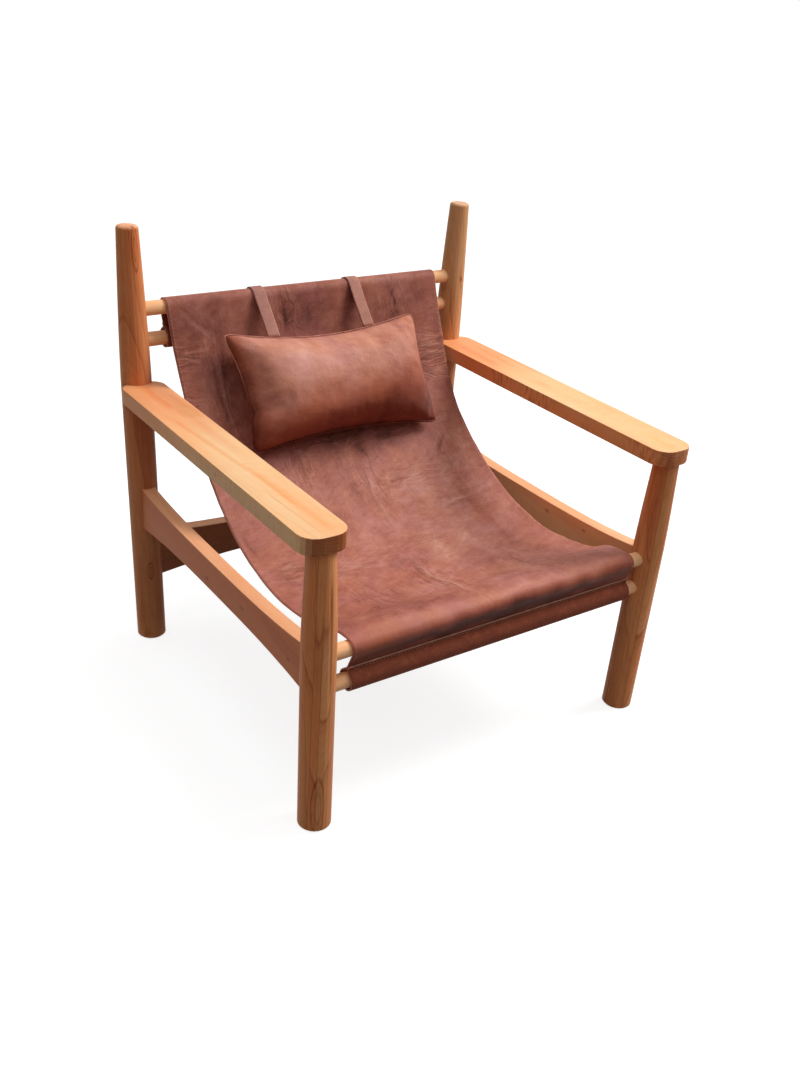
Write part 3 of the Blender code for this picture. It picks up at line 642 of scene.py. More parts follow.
def hide(name, shades, deep, roughness=0.5, grain_scale=820.0, specular=0.11):
    """Waxed brown leather: brushed mottling, pale pulled-up creases, valleys darkened by painted shade, and a
    fine grain.

    It reads these marks of the mesh:
    stain       lifts or sinks the shade: the hide's own tone, and also painted shadows, shade and highlights
    calm        takes the mottling away
    wear        deep tints the leather where it is 0: the sling's upper back, and as painted shade its roll and flap, the pillow's lower half and ends and the welt's lower side
    warm        turns the leather to an orange brown, the hue given to painted shade
    gap, pull   signed distance to the nearest crease, and its strength, above 0 for a pale crease
    cross, down amount of fine wrinkles across the sling and down it
    rim         distance to the cut edge, which is paler
    """
    finish = Finish(name)
    spot = finish.mark_vector("lay")
    warp = finish.cloud(spot, 24.0, 2.0, 0.5, "Color") - 0.5
    drift = spot + warp * 0.03
    slant = finish.node("ShaderNodeVectorRotate", {"rotation_type": "Z_AXIS"},
                        {"Vector": drift, "Angle": brush_slant})
    brushed = finish.stretch(slant, (0.32, 1.0, 1.0))
    lengthwise = finish.stretch(drift, (1.0, 0.20, 1.0))
    crosswise = finish.stretch(drift, (0.22, 1.0, 1.0))

    mottle = finish.cloud(spot, 9.0, 4.0, 0.6)
    patch = finish.cloud(spot + (3.1, 1.7, 0.0), 34.0, 3.0, 0.6)
    brush = finish.cloud(brushed, 75.0, 4.0, 0.65)
    band = finish.cloud(lengthwise, 26.0, 3.0, 0.55)
    dust = finish.cloud(spot, 340.0, 2.0, 0.65)
    cloudy = (mottle - 0.5) * 0.58 + (patch - 0.5) * 0.40 + (brush - 0.5) * 0.50 + (band - 0.5) * 0.40
    tone = 0.5 + finish.mark("stain") * 0.5 + cloudy * (1 - finish.mark("calm")) + (dust - 0.5) * 0.25
    count = len(shades) - 1
    colour = finish.shades(tone, *[(i / count, shade) for i, shade in enumerate(shades)])
    hue = finish.fade(finish.cloud(spot + (7.7, 4.2, 0.0), 14.0, 2.0, 0.5), 0.36, 0.64)
    colour = finish.glaze(1.0, colour, finish.tint(hue, warm_cast, cool_cast))

    wrinkles = ((finish.cloud(crosswise, 58.0, 1.0, 0.5), finish.mark("cross")),
                (finish.cloud(lengthwise, 70.0, 1.0, 0.5), finish.mark("down")))
    ridges, valleys = [
        total(finish.fade(abs(cloud - level), 0.0, 0.06, 1.0, 0.0) * amount for cloud, amount in wrinkles)
        for level in (0.44, 0.56)]

    gap = finish.mark("gap") + (finish.cloud(spot, 150.0, 2.0, 0.6) - 0.5) * 0.0030
    pull = finish.mark("pull")
    line = finish.fade(abs(gap), 0.0, 0.0015, 1.0, 0.0)
    beside = finish.fade(abs(gap), 0.001, 0.008, 1.0, 0.0)
    pale = finish.fade(pull, 0.05, 0.9)
    vein = finish.fade(pull, 0.72, 0.98)
    dull = finish.fade(-pull, 0.05, 0.9)
    light = vein * line * 0.50 + pale * (line * 0.14 + beside * 0.14) + ridges * 0.20
    # dark is painted shade: in dull creases, in the valleys of fine wrinkles, and beside pale creases.
    dark = dull * (line * 0.10 + beside * 0.24) + pale * beside * (1 - line) * 0.10 + valleys * 0.20
    colour = finish.tint(light, colour, shades[-1])
    # Where the stain mark falls below -0.6 the colour darkens further: the painted shadows under and beside
    # the pillow, and the painted shade on the sling's roll and flap.
    colour = finish.shade(colour, (1 - dark) * finish.fade(finish.mark("stain"), -1.6, -0.6, 0.42, 1.0))
    # Painted shade: the orange-brown and deep tints darken the pillow, the welt and the sling's roll and
    # flap; the deep tint also lies on the sling's upper back.
    colour = finish.glaze(finish.mark("warm"), colour, shade_reddening)
    colour = finish.glaze(finish.fade(finish.mark("wear"), 0.0, 1.0, 1.0, 0.0), colour, deep)
    edge = finish.fade(finish.mark("rim"), 0.0, 0.0022, 1.0, 0.0)
    colour = finish.tint(edge * 0.55, colour, finish.shade(colour, 1.5))

    pebbles = finish.cells(spot, grain_scale)
    wrinkle = finish.cloud(drift, 120.0, 3.0, 0.6)
    fine_grain = finish.cloud(spot, grain_scale * 1.7, 2.0, 0.6)
    height = pebbles * 0.30 + wrinkle * 0.70 + fine_grain * 0.2 + brush * 0.5
    height = height + line * pale * 0.7 - line * dull * 0.5 + ridges * 0.9 - valleys * 0.9
    finish.feed(main_shader, Base_Color=colour, Specular_IOR_Level=specular,
                Roughness=roughness + (patch - 0.5) * 0.25 - light * 0.12 + dark * 0.15,
                Normal=finish.relief(height, 0.00075, 0.6))
    return finish.owner


def raw_hide(name, colour, roughness=0.85):
    """The fibrous flesh side, or a cut edge, of leather."""
    finish = Finish(name)
    spot = finish.place()
    nap = finish.cloud(spot, 700.0, 3.0, 0.7)
    blotch = finish.cloud(spot, 38.0, 4.0, 0.65)
    scuff = finish.fade(finish.cloud(spot, 110.0, 4.0, 0.7), 0.50, 0.72)
    shade = finish.shade(colour, 0.35 + nap * 0.5 + blotch * 0.75 + scuff * 0.45)
    finish.feed(main_shader, Base_Color=shade, Roughness=roughness, Specular_IOR_Level=0.2,
                Normal=finish.relief(nap + blotch * 2, 0.0012, 0.7))
    return finish.owner


def waxed_thread(name, colour):
    finish = Finish(name)
    spot = finish.place()
    ply = finish.cloud(spot, 1900.0, 1.0, 0.5)
    shade = finish.shade(colour, 0.7 + ply * 0.6)
    finish.feed(main_shader, Base_Color=shade, Roughness=0.6, Specular_IOR_Level=0.3,
                Normal=finish.relief(ply, 0.0002, 0.6))
    return finish.owner


# The first tint reddens painted shade; the two casts are the hide's own wandering hue.
shade_reddening = (0.98, 0.76, 0.60)
warm_cast = (1.01, 0.99, 0.93)
cool_cast = (0.98, 0.98, 1.08)
# Deep tints: on the pillow they are painted shade; on the sling, painted shade over the roll and flap, and a
# darker upper back.
sling_deep = (0.75, 0.71, 0.70)
pillow_shade_tint = (0.38, 0.25, 0.24)
sling_shades = ((0.15, 0.046, 0.034), (0.32, 0.103, 0.074), (0.45, 0.163, 0.115), (0.56, 0.245, 0.182),
                (0.74, 0.410, 0.320))
pillow_shades = ((0.20, 0.056, 0.036), (0.40, 0.140, 0.095), (0.56, 0.230, 0.160), (0.68, 0.320, 0.235),
                 (0.80, 0.450, 0.350))
strap_shades = ((0.24, 0.095, 0.068), (0.34, 0.145, 0.108), (0.42, 0.185, 0.140), (0.50, 0.240, 0.185),
                (0.64, 0.360, 0.290))


# The sling's route, as in the part
arc_step = 5
fold_steps = 8


def from_angle(degrees):
    return Vector((math.cos(math.radians(degrees)), math.sin(math.radians(degrees))))


def arc(centre, radius, start, end):
    count = max(1, round(abs(end - start) / arc_step))
    return [centre + radius * from_angle(start + (end - start) * i / count) for i in range(count + 1)]


def touch_angle(centre, radius, point, side):
    """Angle at which a straight line from a point touches a circle, on one side or the other."""
    away = point - centre
    return math.degrees(math.atan2(away.y, away.x) + side * math.acos(radius / away.length))


def bezier(start, start_handle, end_handle, end, steps):
    points = []
    for i in range(steps + 1):
        t = i / steps
        s = 1 - t
        points.append(s ** 3 * start + 3 * s * s * t * start_handle
                      + 3 * s * t * t * end_handle + t ** 3 * end)
    return points


def round_corner(before, corner, after):
    start = corner + (before - corner).normalized() * fold_reach
    end = corner + (after - corner).normalized() * fold_reach
    return bezier(start, corner, corner, end, fold_steps)


class Hem:
    """One end of the sling, rolled over an upper dowel and looped round a lower one.

    Its plane has u pointing out of the chair and v up, from the upper dowel's axis.
    """

    def __init__(self, upper, lower, outward):
        self.upper = upper
        self.outward = outward
        self.lower = Vector((outward * (lower.x - upper.x), lower.y - upper.y))
        self.seam = self.lower + Vector((0, seam_height))
        self.roll_angle = touch_angle(Vector((0, 0)), roll_radius, self.seam, 1)
        self.roll_touch = roll_radius * from_angle(self.roll_angle)
        self.up = (self.roll_touch - self.seam).normalized()
        self.out = Vector((self.up.y, -self.up.x))

    def world(self, points):
        return [Vector((self.upper.x + self.outward * p.x, self.upper.y + p.y)) for p in points]

    def path(self):
        flap_foot = self.seam + self.out * (leather + piece_gap)
        inner = touch_angle(self.lower, pocket_radius, self.seam, 1)
        outer = touch_angle(self.lower, pocket_radius, flap_foot, -1) + 360
        loop = arc(self.lower, pocket_radius, inner, outer)
        flap_end = flap_foot + self.up * flap_length
        points = round_corner(self.roll_touch, self.seam, loop[0]) + loop
        points += round_corner(loop[-1], flap_foot, flap_end)
        return self.world(points + [flap_end])

    def roll(self, tilt):
        return self.world(arc(Vector((0, 0)), roll_radius, self.roll_angle, 90 + tilt))


back_upper = Vector((post_y(back_upper_height), back_upper_height))
back_lower = Vector((post_y(back_lower_height), back_lower_height))
front_upper = Vector((front_y, front_upper_height))
front_lower = Vector((front_y, front_lower_height))
back_hem = Hem(back_upper, back_lower, 1)
front_hem = Hem(front_upper, front_lower, -1)


brow_rise = 180 - 18.7
brow_start = Vector((0.087, -0.0255))
brow_handle = Vector((0.050, 0))
back_pull = 0.535
front_pull = 0.320
brow_pull = 0.013
seat_steps = 400


def seat_path():
    """The seat's line: a deep sag, then a brow that meets the front roll level."""
    start = back_hem.roll(seat_back_angle)[-1]
    end = front_hem.roll(0)[-1]
    span = start.x - end.x
    down = -from_angle(seat_back_angle)
    rise = from_angle(brow_rise)
    crest = end + brow_start
    sag = bezier(start, start + down * back_pull * span, crest - rise * front_pull * span, crest, seat_steps)
    brow = bezier(crest, crest + rise * brow_pull, end + brow_handle, end, seat_steps // 4)
    return sag[1:] + brow[1:-1]


zero_angle = 60
slope_step = 0.0012


class SlingRoute:
    """The sling's line seen from the side, with s measured along it from the back roll."""

    def __init__(self):
        back = list(reversed(back_hem.path())) + back_hem.roll(seat_back_angle)
        seat = seat_path()
        front = list(reversed(front_hem.roll(0))) + front_hem.path()
        points = np.array([tuple(p) for p in back + seat + front])
        keep = np.concatenate([[True], np.hypot(*np.diff(points, axis=0).T) > 1e-6])
        self.points = points[keep]
        length = np.concatenate([[0], np.cumsum(np.hypot(*np.diff(self.points, axis=0).T))])
        zero = back_hem.world([roll_radius * from_angle(zero_angle)])[0]
        nearest = np.argmin(np.hypot(self.points[:, 0] - zero.x, self.points[:, 1] - zero.y))
        self.along = length - length[nearest]
        self.seat_start = self.along[len(back) - 1 - (~keep[:len(back)]).sum()]
        end = front_hem.roll(0)[-1]
        self.seat_end = self.along[np.argmin(np.hypot(self.points[:, 0] - end.x, self.points[:, 1] - end.y))]

    def at(self, s):
        """Place (y, z) and the outward normal at distances along the sling."""
        y = np.interp(s, self.along, self.points[:, 0])
        z = np.interp(s, self.along, self.points[:, 1])
        ty, tz = [np.interp(s + slope_step, self.along, line) - np.interp(s - slope_step, self.along, line)
                  for line in self.points.T]
        size = np.hypot(ty, tz)
        return y, z, tz / size, -ty / size


# Edges of the sling: (distance along, left edge, right edge) in millimetres
sling_edges = ((-400, -303, 304), (50, -303, 304.5), (150, -303, 302), (250, -302, 295), (310, -301, 292.5),
               (400, -302, 297), (500, -303, 299.5), (650, -303, 297.5), (760, -303, 305), (800, -303, 306),
               (860, -303, 305.5), (1300, -303, 305.5))

# Folds worked into the sling: height and half-width, then points (across, along), all in millimetres.
# A height above 0 is a ridge that the wax lightens, below 0 a valley darkened by painted shade.
sling_folds = (
    (-1.6, 5.0, ((182, 20), (190, 60), (199.5, 97.5))),
    (-1.2, 4.0, ((-63, 55), (-62, 80), (-66, 103))),
    (-0.8, 6.0, ((-293, 20), (-243, 65), (-203, 95))),
    (0.7, 3.0, ((-290, 35), (-250, 70), (-215, 112))),
    (-0.6, 3.0, ((-285, 50), (-255, 85), (-235, 122))),
    (0.6, 3.0, ((-270, 20), (-235, 50), (-200, 78))),
    (0.9, 3.5, ((-240, 75), (-238, 110), (-241, 145))),
    (0.9, 3.0, ((-292, 124), (-280, 121), (-268, 126))),
    (0.8, 3.0, ((-291, 214), (-268, 217))),
    (-1.3, 5.0, ((-227, 115), (-231, 180), (-225, 240), (-229, 290))),
    (1.0, 4.5, ((-218, 120), (-221, 190), (-215, 280))),
    (1.1, 3.5, ((238, 168), (265, 163), (293, 171))),
    (-1.0, 3.5, ((240, 177), (266, 173), (294, 181))),
    (0.9, 3.5, ((236, 188), (262, 184), (292, 191))),
    (0.9, 3.5, ((240, 226), (264, 222), (290, 228))),
    (-1.1, 4.0, ((22, 335), (30, 350), (42, 372))),
    (1.0, 4.0, ((20, 395), (17, 425), (21, 460))),
    (-1.2, 3.5, ((57, 440), (75, 434), (97, 432))),
    (1.2, 4.5, ((77, 447), (100, 441), (122, 432), (134, 412))),
    (1.0, 4.5, ((162, 447), (190, 441), (227, 427))),
    (-1.3, 5.0, ((197, 398), (210, 384), (227, 365))),
    (1.0, 5.0, ((190, 388), (206, 372), (221, 352))),
    (1.3, 4.0, ((137, 520), (160, 513), (190, 509), (212, 512))),
    (-0.8, 3.0, ((140, 527), (165, 521), (192, 518), (210, 520))),
    (1.0, 3.5, ((12, 460), (14, 500), (11, 545))),
    (0.6, 3.0, ((-12, 425), (-13, 475))),
    (-1.0, 5.0, ((-112, 340), (-108, 370), (-114, 400))),
    (1.1, 4.0, ((-273, 600), (-245, 588), (-213, 570))),
    (0.8, 3.5, ((-268, 585), (-240, 571), (-219, 556))),
    (0.9, 4.0, ((-153, 592), (-125, 605), (-93, 620))),
    (0.8, 3.5, ((-150, 608), (-122, 618), (-96, 634))),
    (1.1, 3.5, ((47, 630), (62, 605), (77, 580))),
    (0.9, 3.0, ((47, 625), (37, 650))),
    (1.5, 4.5, ((-10, 620), (-14, 670), (-19, 710), (-15, 750), (-17, 790), (-29, 820), (-28, 868))),
    (-0.9, 5.0, ((-21, 640), (-26, 700), (-26, 760), (-38, 830))),
    (0.8, 3.5, ((-130, 715), (-129, 735))),
    (0.9, 4.0, ((217, 840), (236, 812), (257, 785))),
    (0.8, 3.5, ((226, 850), (248, 820), (270, 797))),
    (0.7, 3.5, ((120, 700), (130, 760), (126, 860))),
    (-0.9, 7.0, ((150, 700), (156, 770), (150, 860))),
    (-0.9, 9.0, ((-285, 478), (-286, 510), (-283, 545))),
    (-0.8, 9.0, ((-115, 700), (-112, 740))),
    (-0.8, 8.0, ((-42, 714), (-40, 742))),
)


def smoothstep(low, high, values):
    t = np.clip((values - low) / (high - low), 0, 1)
    return t * t * (3 - 2 * t)


lattice_size = 97


def soft_noise(x, y, seed):
    """Smooth noise from -1 to 1 on a lattice of unit squares."""
    lattice = np.random.default_rng(seed).uniform(-1, 1, (lattice_size, lattice_size))
    cx, cy = np.floor(x).astype(int), np.floor(y).astype(int)
    fx, fy = x - cx, y - cy
    fx, fy = fx * fx * (3 - 2 * fx), fy * fy * (3 - 2 * fy)

    def corner(i, j):
        return lattice[(cx + i) % lattice_size, (cy + j) % lattice_size]

    low = corner(0, 0) * (1 - fx) + corner(1, 0) * fx
    high = corner(0, 1) * (1 - fx) + corner(1, 1) * fx
    return low * (1 - fy) + high * fy


def along_line(x, y, points):
    """Signed distance from each place to a line through points, and how far along the line it is."""
    best = np.full(x.shape, 1e9)
    share = np.zeros(x.shape)
    lengths = [math.dist(p, q) for p, q in zip(points, points[1:])]
    whole, run = sum(lengths), 0.0
    for (px, py), (qx, qy), length in zip(points, points[1:], lengths):
        t = ((x - px) * (qx - px) + (y - py) * (qy - py)) / length ** 2
        t = np.clip(t, 0, 1)
        distance = np.hypot(x - px - t * (qx - px), y - py - t * (qy - py))
        side = np.where((x - px) * (qy - py) - (y - py) * (qx - px) > 0, 1.0, -1.0)
        nearer = distance < np.abs(best)
        best = np.where(nearer, distance * side, best)
        share = np.where(nearer, (run + t * length) / whole, share)
        run += length
    return best, share


def smooth_line(points, steps=6):
    """More points on a smooth line through the given ones."""
    points = [Vector(p) for p in points]
    if len(points) < 3:
        return [tuple(p) for p in points]
    padded = [2 * points[0] - points[1]] + points + [2 * points[-1] - points[-2]]
    line = []
    for p0, p1, p2, p3 in zip(padded, padded[1:], padded[2:], padded[3:]):
        for i in range(steps):
            t = i / steps
            line.append(0.5 * ((2 * p1) + (p2 - p0) * t + (2 * p0 - 5 * p1 + 4 * p2 - p3) * t * t
                               + (3 * p1 - p0 - 3 * p2 + p3) * t ** 3))
    return [tuple(p) for p in line + [points[-1]]]


# Darker and lighter places in the hide: across, along, half-width, half-length in millimetres, and the lift
# Among the sling's, (0, 315) and (135, 350) paint the pillow's shadow on the seat, and (-203, 168) and (-225,
# 190) the shadow beside its left end. (0, 922) and (0, 990) paint shade on the front roll's underside and on
# the flap. (0, 882) and (0, 16) paint highlights on the front and back rolls; the front one is partly the
# leather paling where it bends.
sling_stains_and_painted_light = (
    (-290, 70, 30, 120, -0.25), (-205, 55, 55, 45, -0.15), (-30, 62, 55, 42, -0.50),
    (75, 60, 45, 42, -0.20), (190, 62, 11, 48, -0.45), (250, 62, 42, 45, -0.15), (-62, 62, 8, 45, -0.40),
    (-225, 190, 22, 100, -0.35), (-275, 260, 30, 70, -0.15), (270, 205, 32, 65, -0.18),
    (0, 315, 200, 34, -0.75), (135, 350, 50, 44, -0.10), (215, 330, 30, 30, 0.25),
    (262, 350, 30, 80, 0.60), (160, 615, 46, 120, 0.36), (-170, 762, 62, 92, -0.27),
    (-286, 750, 26, 120, -0.20), (0, 846, 400, 15, -0.30), (60, 625, 44, 90, 0.22),
    (0, 78, 400, 44, -0.24), (238, 190, 20, 60, -0.32), (-203, 168, 14, 60, -0.65),
    (-245, 200, 18, 60, 0.35), (-112, 348, 11, 30, -0.35), (-150, 392, 34, 40, 0.18),
    (30, 352, 13, 28, -0.15), (-30, 400, 40, 40, -0.15), (-18, 440, 36, 50, 0.05),
    (122, 452, 55, 34, 0.32), (-26, 458, 8, 42, -0.25), (214, 525, 17, 95, -0.25),
    (120, 540, 68, 58, 0.14), (-60, 560, 60, 38, 0.12), (-212, 622, 60, 16, -0.22),
    (-50, 682, 26, 50, -0.22), (150, 790, 30, 60, 0.20), (-152, 742, 24, 62, 0.12),
    (255, 820, 48, 58, -0.16), (-240, 800, 50, 60, -0.12), (60, 640, 60, 30, 0.12),
    (0, 882, 400, 11, 0.36), (0, 922, 400, 20, -1.16), (0, 990, 400, 45, -0.80), (0, 16, 400, 7, 0.20))
# The pillow's are mostly painted light and shade: lighter over its upper middle and low on the left, darker
# at the left end, at the top right and low on the right.
pillow_stains_and_painted_light = (
    (-70, 34, 80, 34, 0.16), (-185, 30, 26, 55, -0.35), (150, 20, 42, 46, -0.32), (40, 60, 70, 22, 0.10),
    (-128, -12, 42, 50, 0.12), (-60, -64, 60, 24, 0.14), (85, -45, 50, 32, -0.35),
    (65, -95, 70, 14, -0.35), (-100, 52, 35, 20, 0.12), (0, -20, 120, 24, -0.06),
    (-172, -58, 36, 26, 0.40), (-176, -100, 26, 12, 0.55), (178, -84, 12, 26, -0.30),
    (196, -92, 8, 20, 0.45), (60, -60, 80, 22, -0.15), (110, 75, 70, 24, -0.12))
# Their outlines waver by this much over this distance
stain_waver = 0.012
stain_wave = 0.03


def stain(x, y, table):
    """Sum of soft-edged places with uneven outlines."""
    lifted = np.zeros(x.shape)
    dx, dy = [stain_waver * soft_noise(x / stain_wave, y / stain_wave, seed) for seed in (71, 72)]
    for across, along, half_width, half_length, lift in table:
        away_x = (x + dx - across * mm) / (half_width * mm)
        away_y = (y + dy - along * mm) / (half_length * mm)
        lifted += lift * np.exp(-away_x ** 2 - away_y ** 2)
    return lifted


# Places full of fine wrinkles: across, along, half-width, half-length in millimetres, and the amount
cross_wrinkles = (
    (270, 205, 45, 70, 1.0), (-280, 122, 32, 22, 1.0), (130, 440, 90, 30, 0.8), (180, 512, 60, 22, 0.8),
    (-240, 595, 60, 40, 0.9), (-120, 612, 60, 26, 0.7), (-280, 215, 30, 30, 0.7),
    (60, 600, 120, 50, 0.45), (0, 330, 250, 20, 0.5))
down_wrinkles = (
    (-225, 200, 30, 100, 0.8), (20, 430, 40, 60, 0.8), (-20, 750, 40, 120, 0.7), (190, 60, 25, 50, 0.9),
    (-62, 60, 25, 50, 0.9), (150, 790, 60, 80, 0.5), (-150, 740, 60, 80, 0.5), (-112, 370, 30, 50, 0.8),
    (230, 400, 40, 60, 0.6))


def sling_relief(x, s):
    """Heights of the sling's folds and hollows, and the creases' distance and strength."""
    gap = np.full(x.shape, 0.05)
    pull = np.zeros(x.shape)
    height = np.zeros(x.shape)
    wave = 0.0022 * soft_noise(x / 0.022, s / 0.022, 8)
    for rise, width, points in sling_folds:
        line = smooth_line([(px * mm, py * mm) for px, py in points])
        distance, share = along_line(x + wave, s - wave, line)
        taper = np.clip(4 * share * (1 - share) + 0.10, 0, 1) ** 0.6
        ridge = np.exp(-(distance / (width * mm * 1.3)) ** 2) * taper
        shoulder = np.exp(-(distance / (width * mm * 3.2)) ** 2) * taper
        height += rise * mm * (ridge - 0.40 * shoulder)
        nearer = np.abs(distance) < np.abs(gap)
        gap = np.where(nearer, distance, gap)
        strength = rise / 1.5 * taper * np.exp(-(distance / 0.011) ** 2)
        pull = np.where(nearer, strength, pull)
    seat = smoothstep(0.03, 0.09, s) * (1 - smoothstep(0.80, 0.875, s))
    hollows = 0.0017 * soft_noise(x / 0.085, s / 0.085, 11) + 0.0008 * soft_noise(x / 0.030, s / 0.034, 12)
    bend = smoothstep(0.10, 0.20, s) * (1 - smoothstep(0.32, 0.48, s))
    creases = 0.00055 * soft_noise(x / 0.050, s / 0.0105, 13) * bend
    crumpled = smoothstep(-0.3, 0.6, soft_noise(x / 0.09, s / 0.09, 16))
    crumple = 0.0007 * soft_noise(x / 0.020, s / 0.014, 15) * crumpled
    small = 0.00018 * soft_noise(x / 0.012, s / 0.012, 14)
    relief = seat * (height + hollows + creases + crumple) + small * (0.25 + 0.75 * seat)
    return relief, gap, pull


route = SlingRoute()
# The grid's steps on the seat and on the hems
seat_step, hem_step = ((0.0042, 0.0022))
sling_width = 0.609
dish_depth = 0.005
waver_depth = 0.0008
curl_depth = 0.0014
pressed_relief = 0.0003


class Sling:
    """The sling's middle surface as a grid, with its places and normals."""

    def __init__(self):
        first, last = route.along[0], route.along[-1]
        rows = [np.arange(first, route.seat_start - 0.004, hem_step),
                np.arange(route.seat_start, route.seat_end, seat_step),
                np.arange(route.seat_end + 0.002, last, hem_step), [last]]
        self.s = np.concatenate(rows)
        table = np.array(sling_edges) * mm
        self.left = np.interp(self.s, table[:, 0], table[:, 1])
        self.right = np.interp(self.s, table[:, 0], table[:, 2])
        waver = waver_depth * soft_noise(self.s / 0.045, self.s * 0 + 0.5, 21)
        waver_right = waver_depth * soft_noise(self.s / 0.045, self.s * 0 + 3.5, 22)
        self.u = np.linspace(0, 1, round(sling_width / seat_step) + 1)
        u = self.u[None, :]
        left, right = (self.left + waver)[:, None], (self.right + waver_right)[:, None]
        self.x = left + (right - left) * u
        s = self.length = np.repeat(self.s[:, None], len(self.u), axis=1)
        y, z, ny, nz = [v[:, None] for v in route.at(self.s)]
        relief, self.gap, self.pull = sling_relief(self.x, s)
        seat = np.clip((self.s - route.seat_start) / (route.seat_end - route.seat_start), 0, 1)[:, None]
        dish = dish_depth * np.sin(np.pi * seat) * (1 - (2 * u - 1) ** 2)
        rim = self.rim = np.minimum(self.x - left, right - self.x)
        lip = np.exp(-(rim / 0.012) ** 2) * np.sin(np.pi * seat) ** 0.5
        curl = lip * curl_depth * (1 + soft_noise(s / 0.06, u + 9, 31))
        under_pillow = smoothstep(-0.235, -0.205, self.x) * (1 - smoothstep(0.205, 0.235, self.x))
        under_pillow = under_pillow * smoothstep(0.05, 0.08, s) * (1 - smoothstep(0.27, 0.30, s))
        relief = relief * (1 - under_pillow) + np.minimum(relief, pressed_relief) * under_pillow
        relief = relief + curl * (1 - under_pillow)
        self.places = np.stack([self.x, y + ny * relief, z + nz * relief - dish], axis=-1)
        along = np.gradient(self.places, axis=0)
        across = np.gradient(self.places, axis=1)
        normals = np.cross(along, across)
        normals /= np.linalg.norm(normals, axis=-1, keepdims=True)
        flip = np.sign(normals[..., 1] * ny + normals[..., 2] * nz)
        self.normals = normals * flip[..., None]

    def at(self, inset, s, side):
        """Place and normal at a distance in from the left (-1) or right (1) edge."""
        row = np.interp(s, self.s, np.arange(len(self.s)))
        i = int(min(row, len(self.s) - 2))
        f = row - i
        width = self.right[i] - self.left[i]
        u = inset / width if side < 0 else 1 - inset / width
        column = u * (len(self.u) - 1)
        j = int(min(max(column, 0), len(self.u) - 2))
        g = column - j

        def between(grid):
            return ((grid[i, j] * (1 - g) + grid[i, j + 1] * g) * (1 - f)
                    + (grid[i + 1, j] * (1 - g) + grid[i + 1, j + 1] * g) * f)

        return Vector(between(self.places)), Vector(between(self.normals)).normalized()


def quads(index):
    """Faces between the neighbours of a grid of vertex numbers."""
    return np.stack([index[:-1, :-1], index[:-1, 1:], index[1:, 1:], index[1:, :-1]], axis=-1).reshape(-1, 4)


def grid_mesh(name, places):
    index = np.arange(places[..., 0].size).reshape(places.shape[:2])
    mesh = bpy.data.meshes.new(name)
    mesh.from_pydata(places.reshape(-1, 3).tolist(), [], quads(index).tolist())
    return mesh


plain_leather = {"gap": 0.05, "pull": 0.0, "stain": 0.0, "cross": 0.12, "down": 0.12, "rim": 0.02,
                 "calm": 0.0, "warm": 0.0, "wear": 1.0}


def write_marks(mesh, **marks):
    """Write what a hide reads at each vertex, with plain leather where nothing is given."""
    for name, values in {**plain_leather, **marks}.items():
        spread = np.zeros(len(mesh.vertices), np.float32)
        spread[:] = np.ravel(values)
        mesh.attributes.new(name, "FLOAT", "POINT").data.foreach_set("value", spread)


def write_lay(mesh, x, y, z=0.0):
    """Write where each vertex lies on the flat hide; z sets panels apart."""
    lay = np.zeros((len(mesh.vertices), 3), np.float32)
    lay[:, 0], lay[:, 1], lay[:, 2] = np.ravel(x), np.ravel(y), np.ravel(z)
    mesh.attributes.new("lay", "FLOAT_VECTOR", "POINT").data.foreach_set("vector", lay.ravel())


def add_piece(name, mesh, body, materials):
    item = bpy.data.objects.new(name, mesh)
    bpy.context.collection.objects.link(item)
    mesh.materials.clear()
    for material in materials:
        mesh.materials.append(material)
    if body:
        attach(item, body)
    return item


def face_along(mesh, normals):
    """Turn the mesh's faces so that they look along the given normals."""
    face = mesh.polygons[len(mesh.polygons) // 2]
    wanted = normals.reshape(-1, 3)[face.vertices[0]]
    if Vector(wanted).dot(face.normal) < 0:
        mesh.flip_normals()


def thicken(item, thickness):
    modifier = item.modifiers.new("Leather", "SOLIDIFY")
    modifier.thickness = thickness
    modifier.offset = 0
    modifier.use_even_offset = True
    modifier.material_offset = 1
    modifier.material_offset_rim = 2


def settle(item):
    """Make the modifiers part of the mesh."""
    bpy.context.view_layer.update()
    solid = bpy.data.meshes.new_from_object(item.evaluated_get(bpy.context.evaluated_depsgraph_get()))
    item.modifiers.clear()
    item.data = solid


def make_sling():
    sling = Sling()
    mesh = grid_mesh("Sling", sling.places)
    face_along(mesh, sling.normals)
    x, s = sling.x, sling.length
    # The seat is worn lighter than the upper back; past s = 0.87 the orange-brown and deep tints over the
    # roll and the flap are painted shade.
    worn = smoothstep(0.20, 0.42, s + 0.02 * soft_noise(x / 0.07, s / 0.07, 51))
    seat_wear_and_roll_shade = 0.25 + 0.75 * worn * (1 - smoothstep(0.895, 0.915, s))
    write_marks(mesh, gap=sling.gap, pull=sling.pull, stain=stain(x, s, sling_stains_and_painted_light), rim=sling.rim,
                cross=0.14 + stain(x, s, cross_wrinkles), down=0.14 + stain(x, s, down_wrinkles),
                warm=smoothstep(0.870, 0.915, s), calm=0.75 * smoothstep(0.845, 0.895, s),
                wear=seat_wear_and_roll_shade - 0.25 * smoothstep(0.930, 0.945, s))
    write_lay(mesh, x, s)
    mesh.shade_smooth()
    face = hide("Sling leather", sling_shades, sling_deep)
    flesh = raw_hide("Sling flesh side", (0.235, 0.057, 0.028))
    cut_edge = raw_hide("Sling cut edge", (0.52, 0.27, 0.19), 0.7)
    item = add_piece("leather_sling", mesh, "frame", (face, flesh, cut_edge))
    thicken(item, leather)
    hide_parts("sling")
    return sling


# Stitching
stitch_length = 0.0055
stitch_space = 0.0014
thread_radius = 0.00042
thread_sides = 6
thread_rings = 5
edge_inset = 0.0050
hem_inset = 0.0055
hem_margin, hem_end = 0.010, 0.590
seam_past_rolls = 0.045


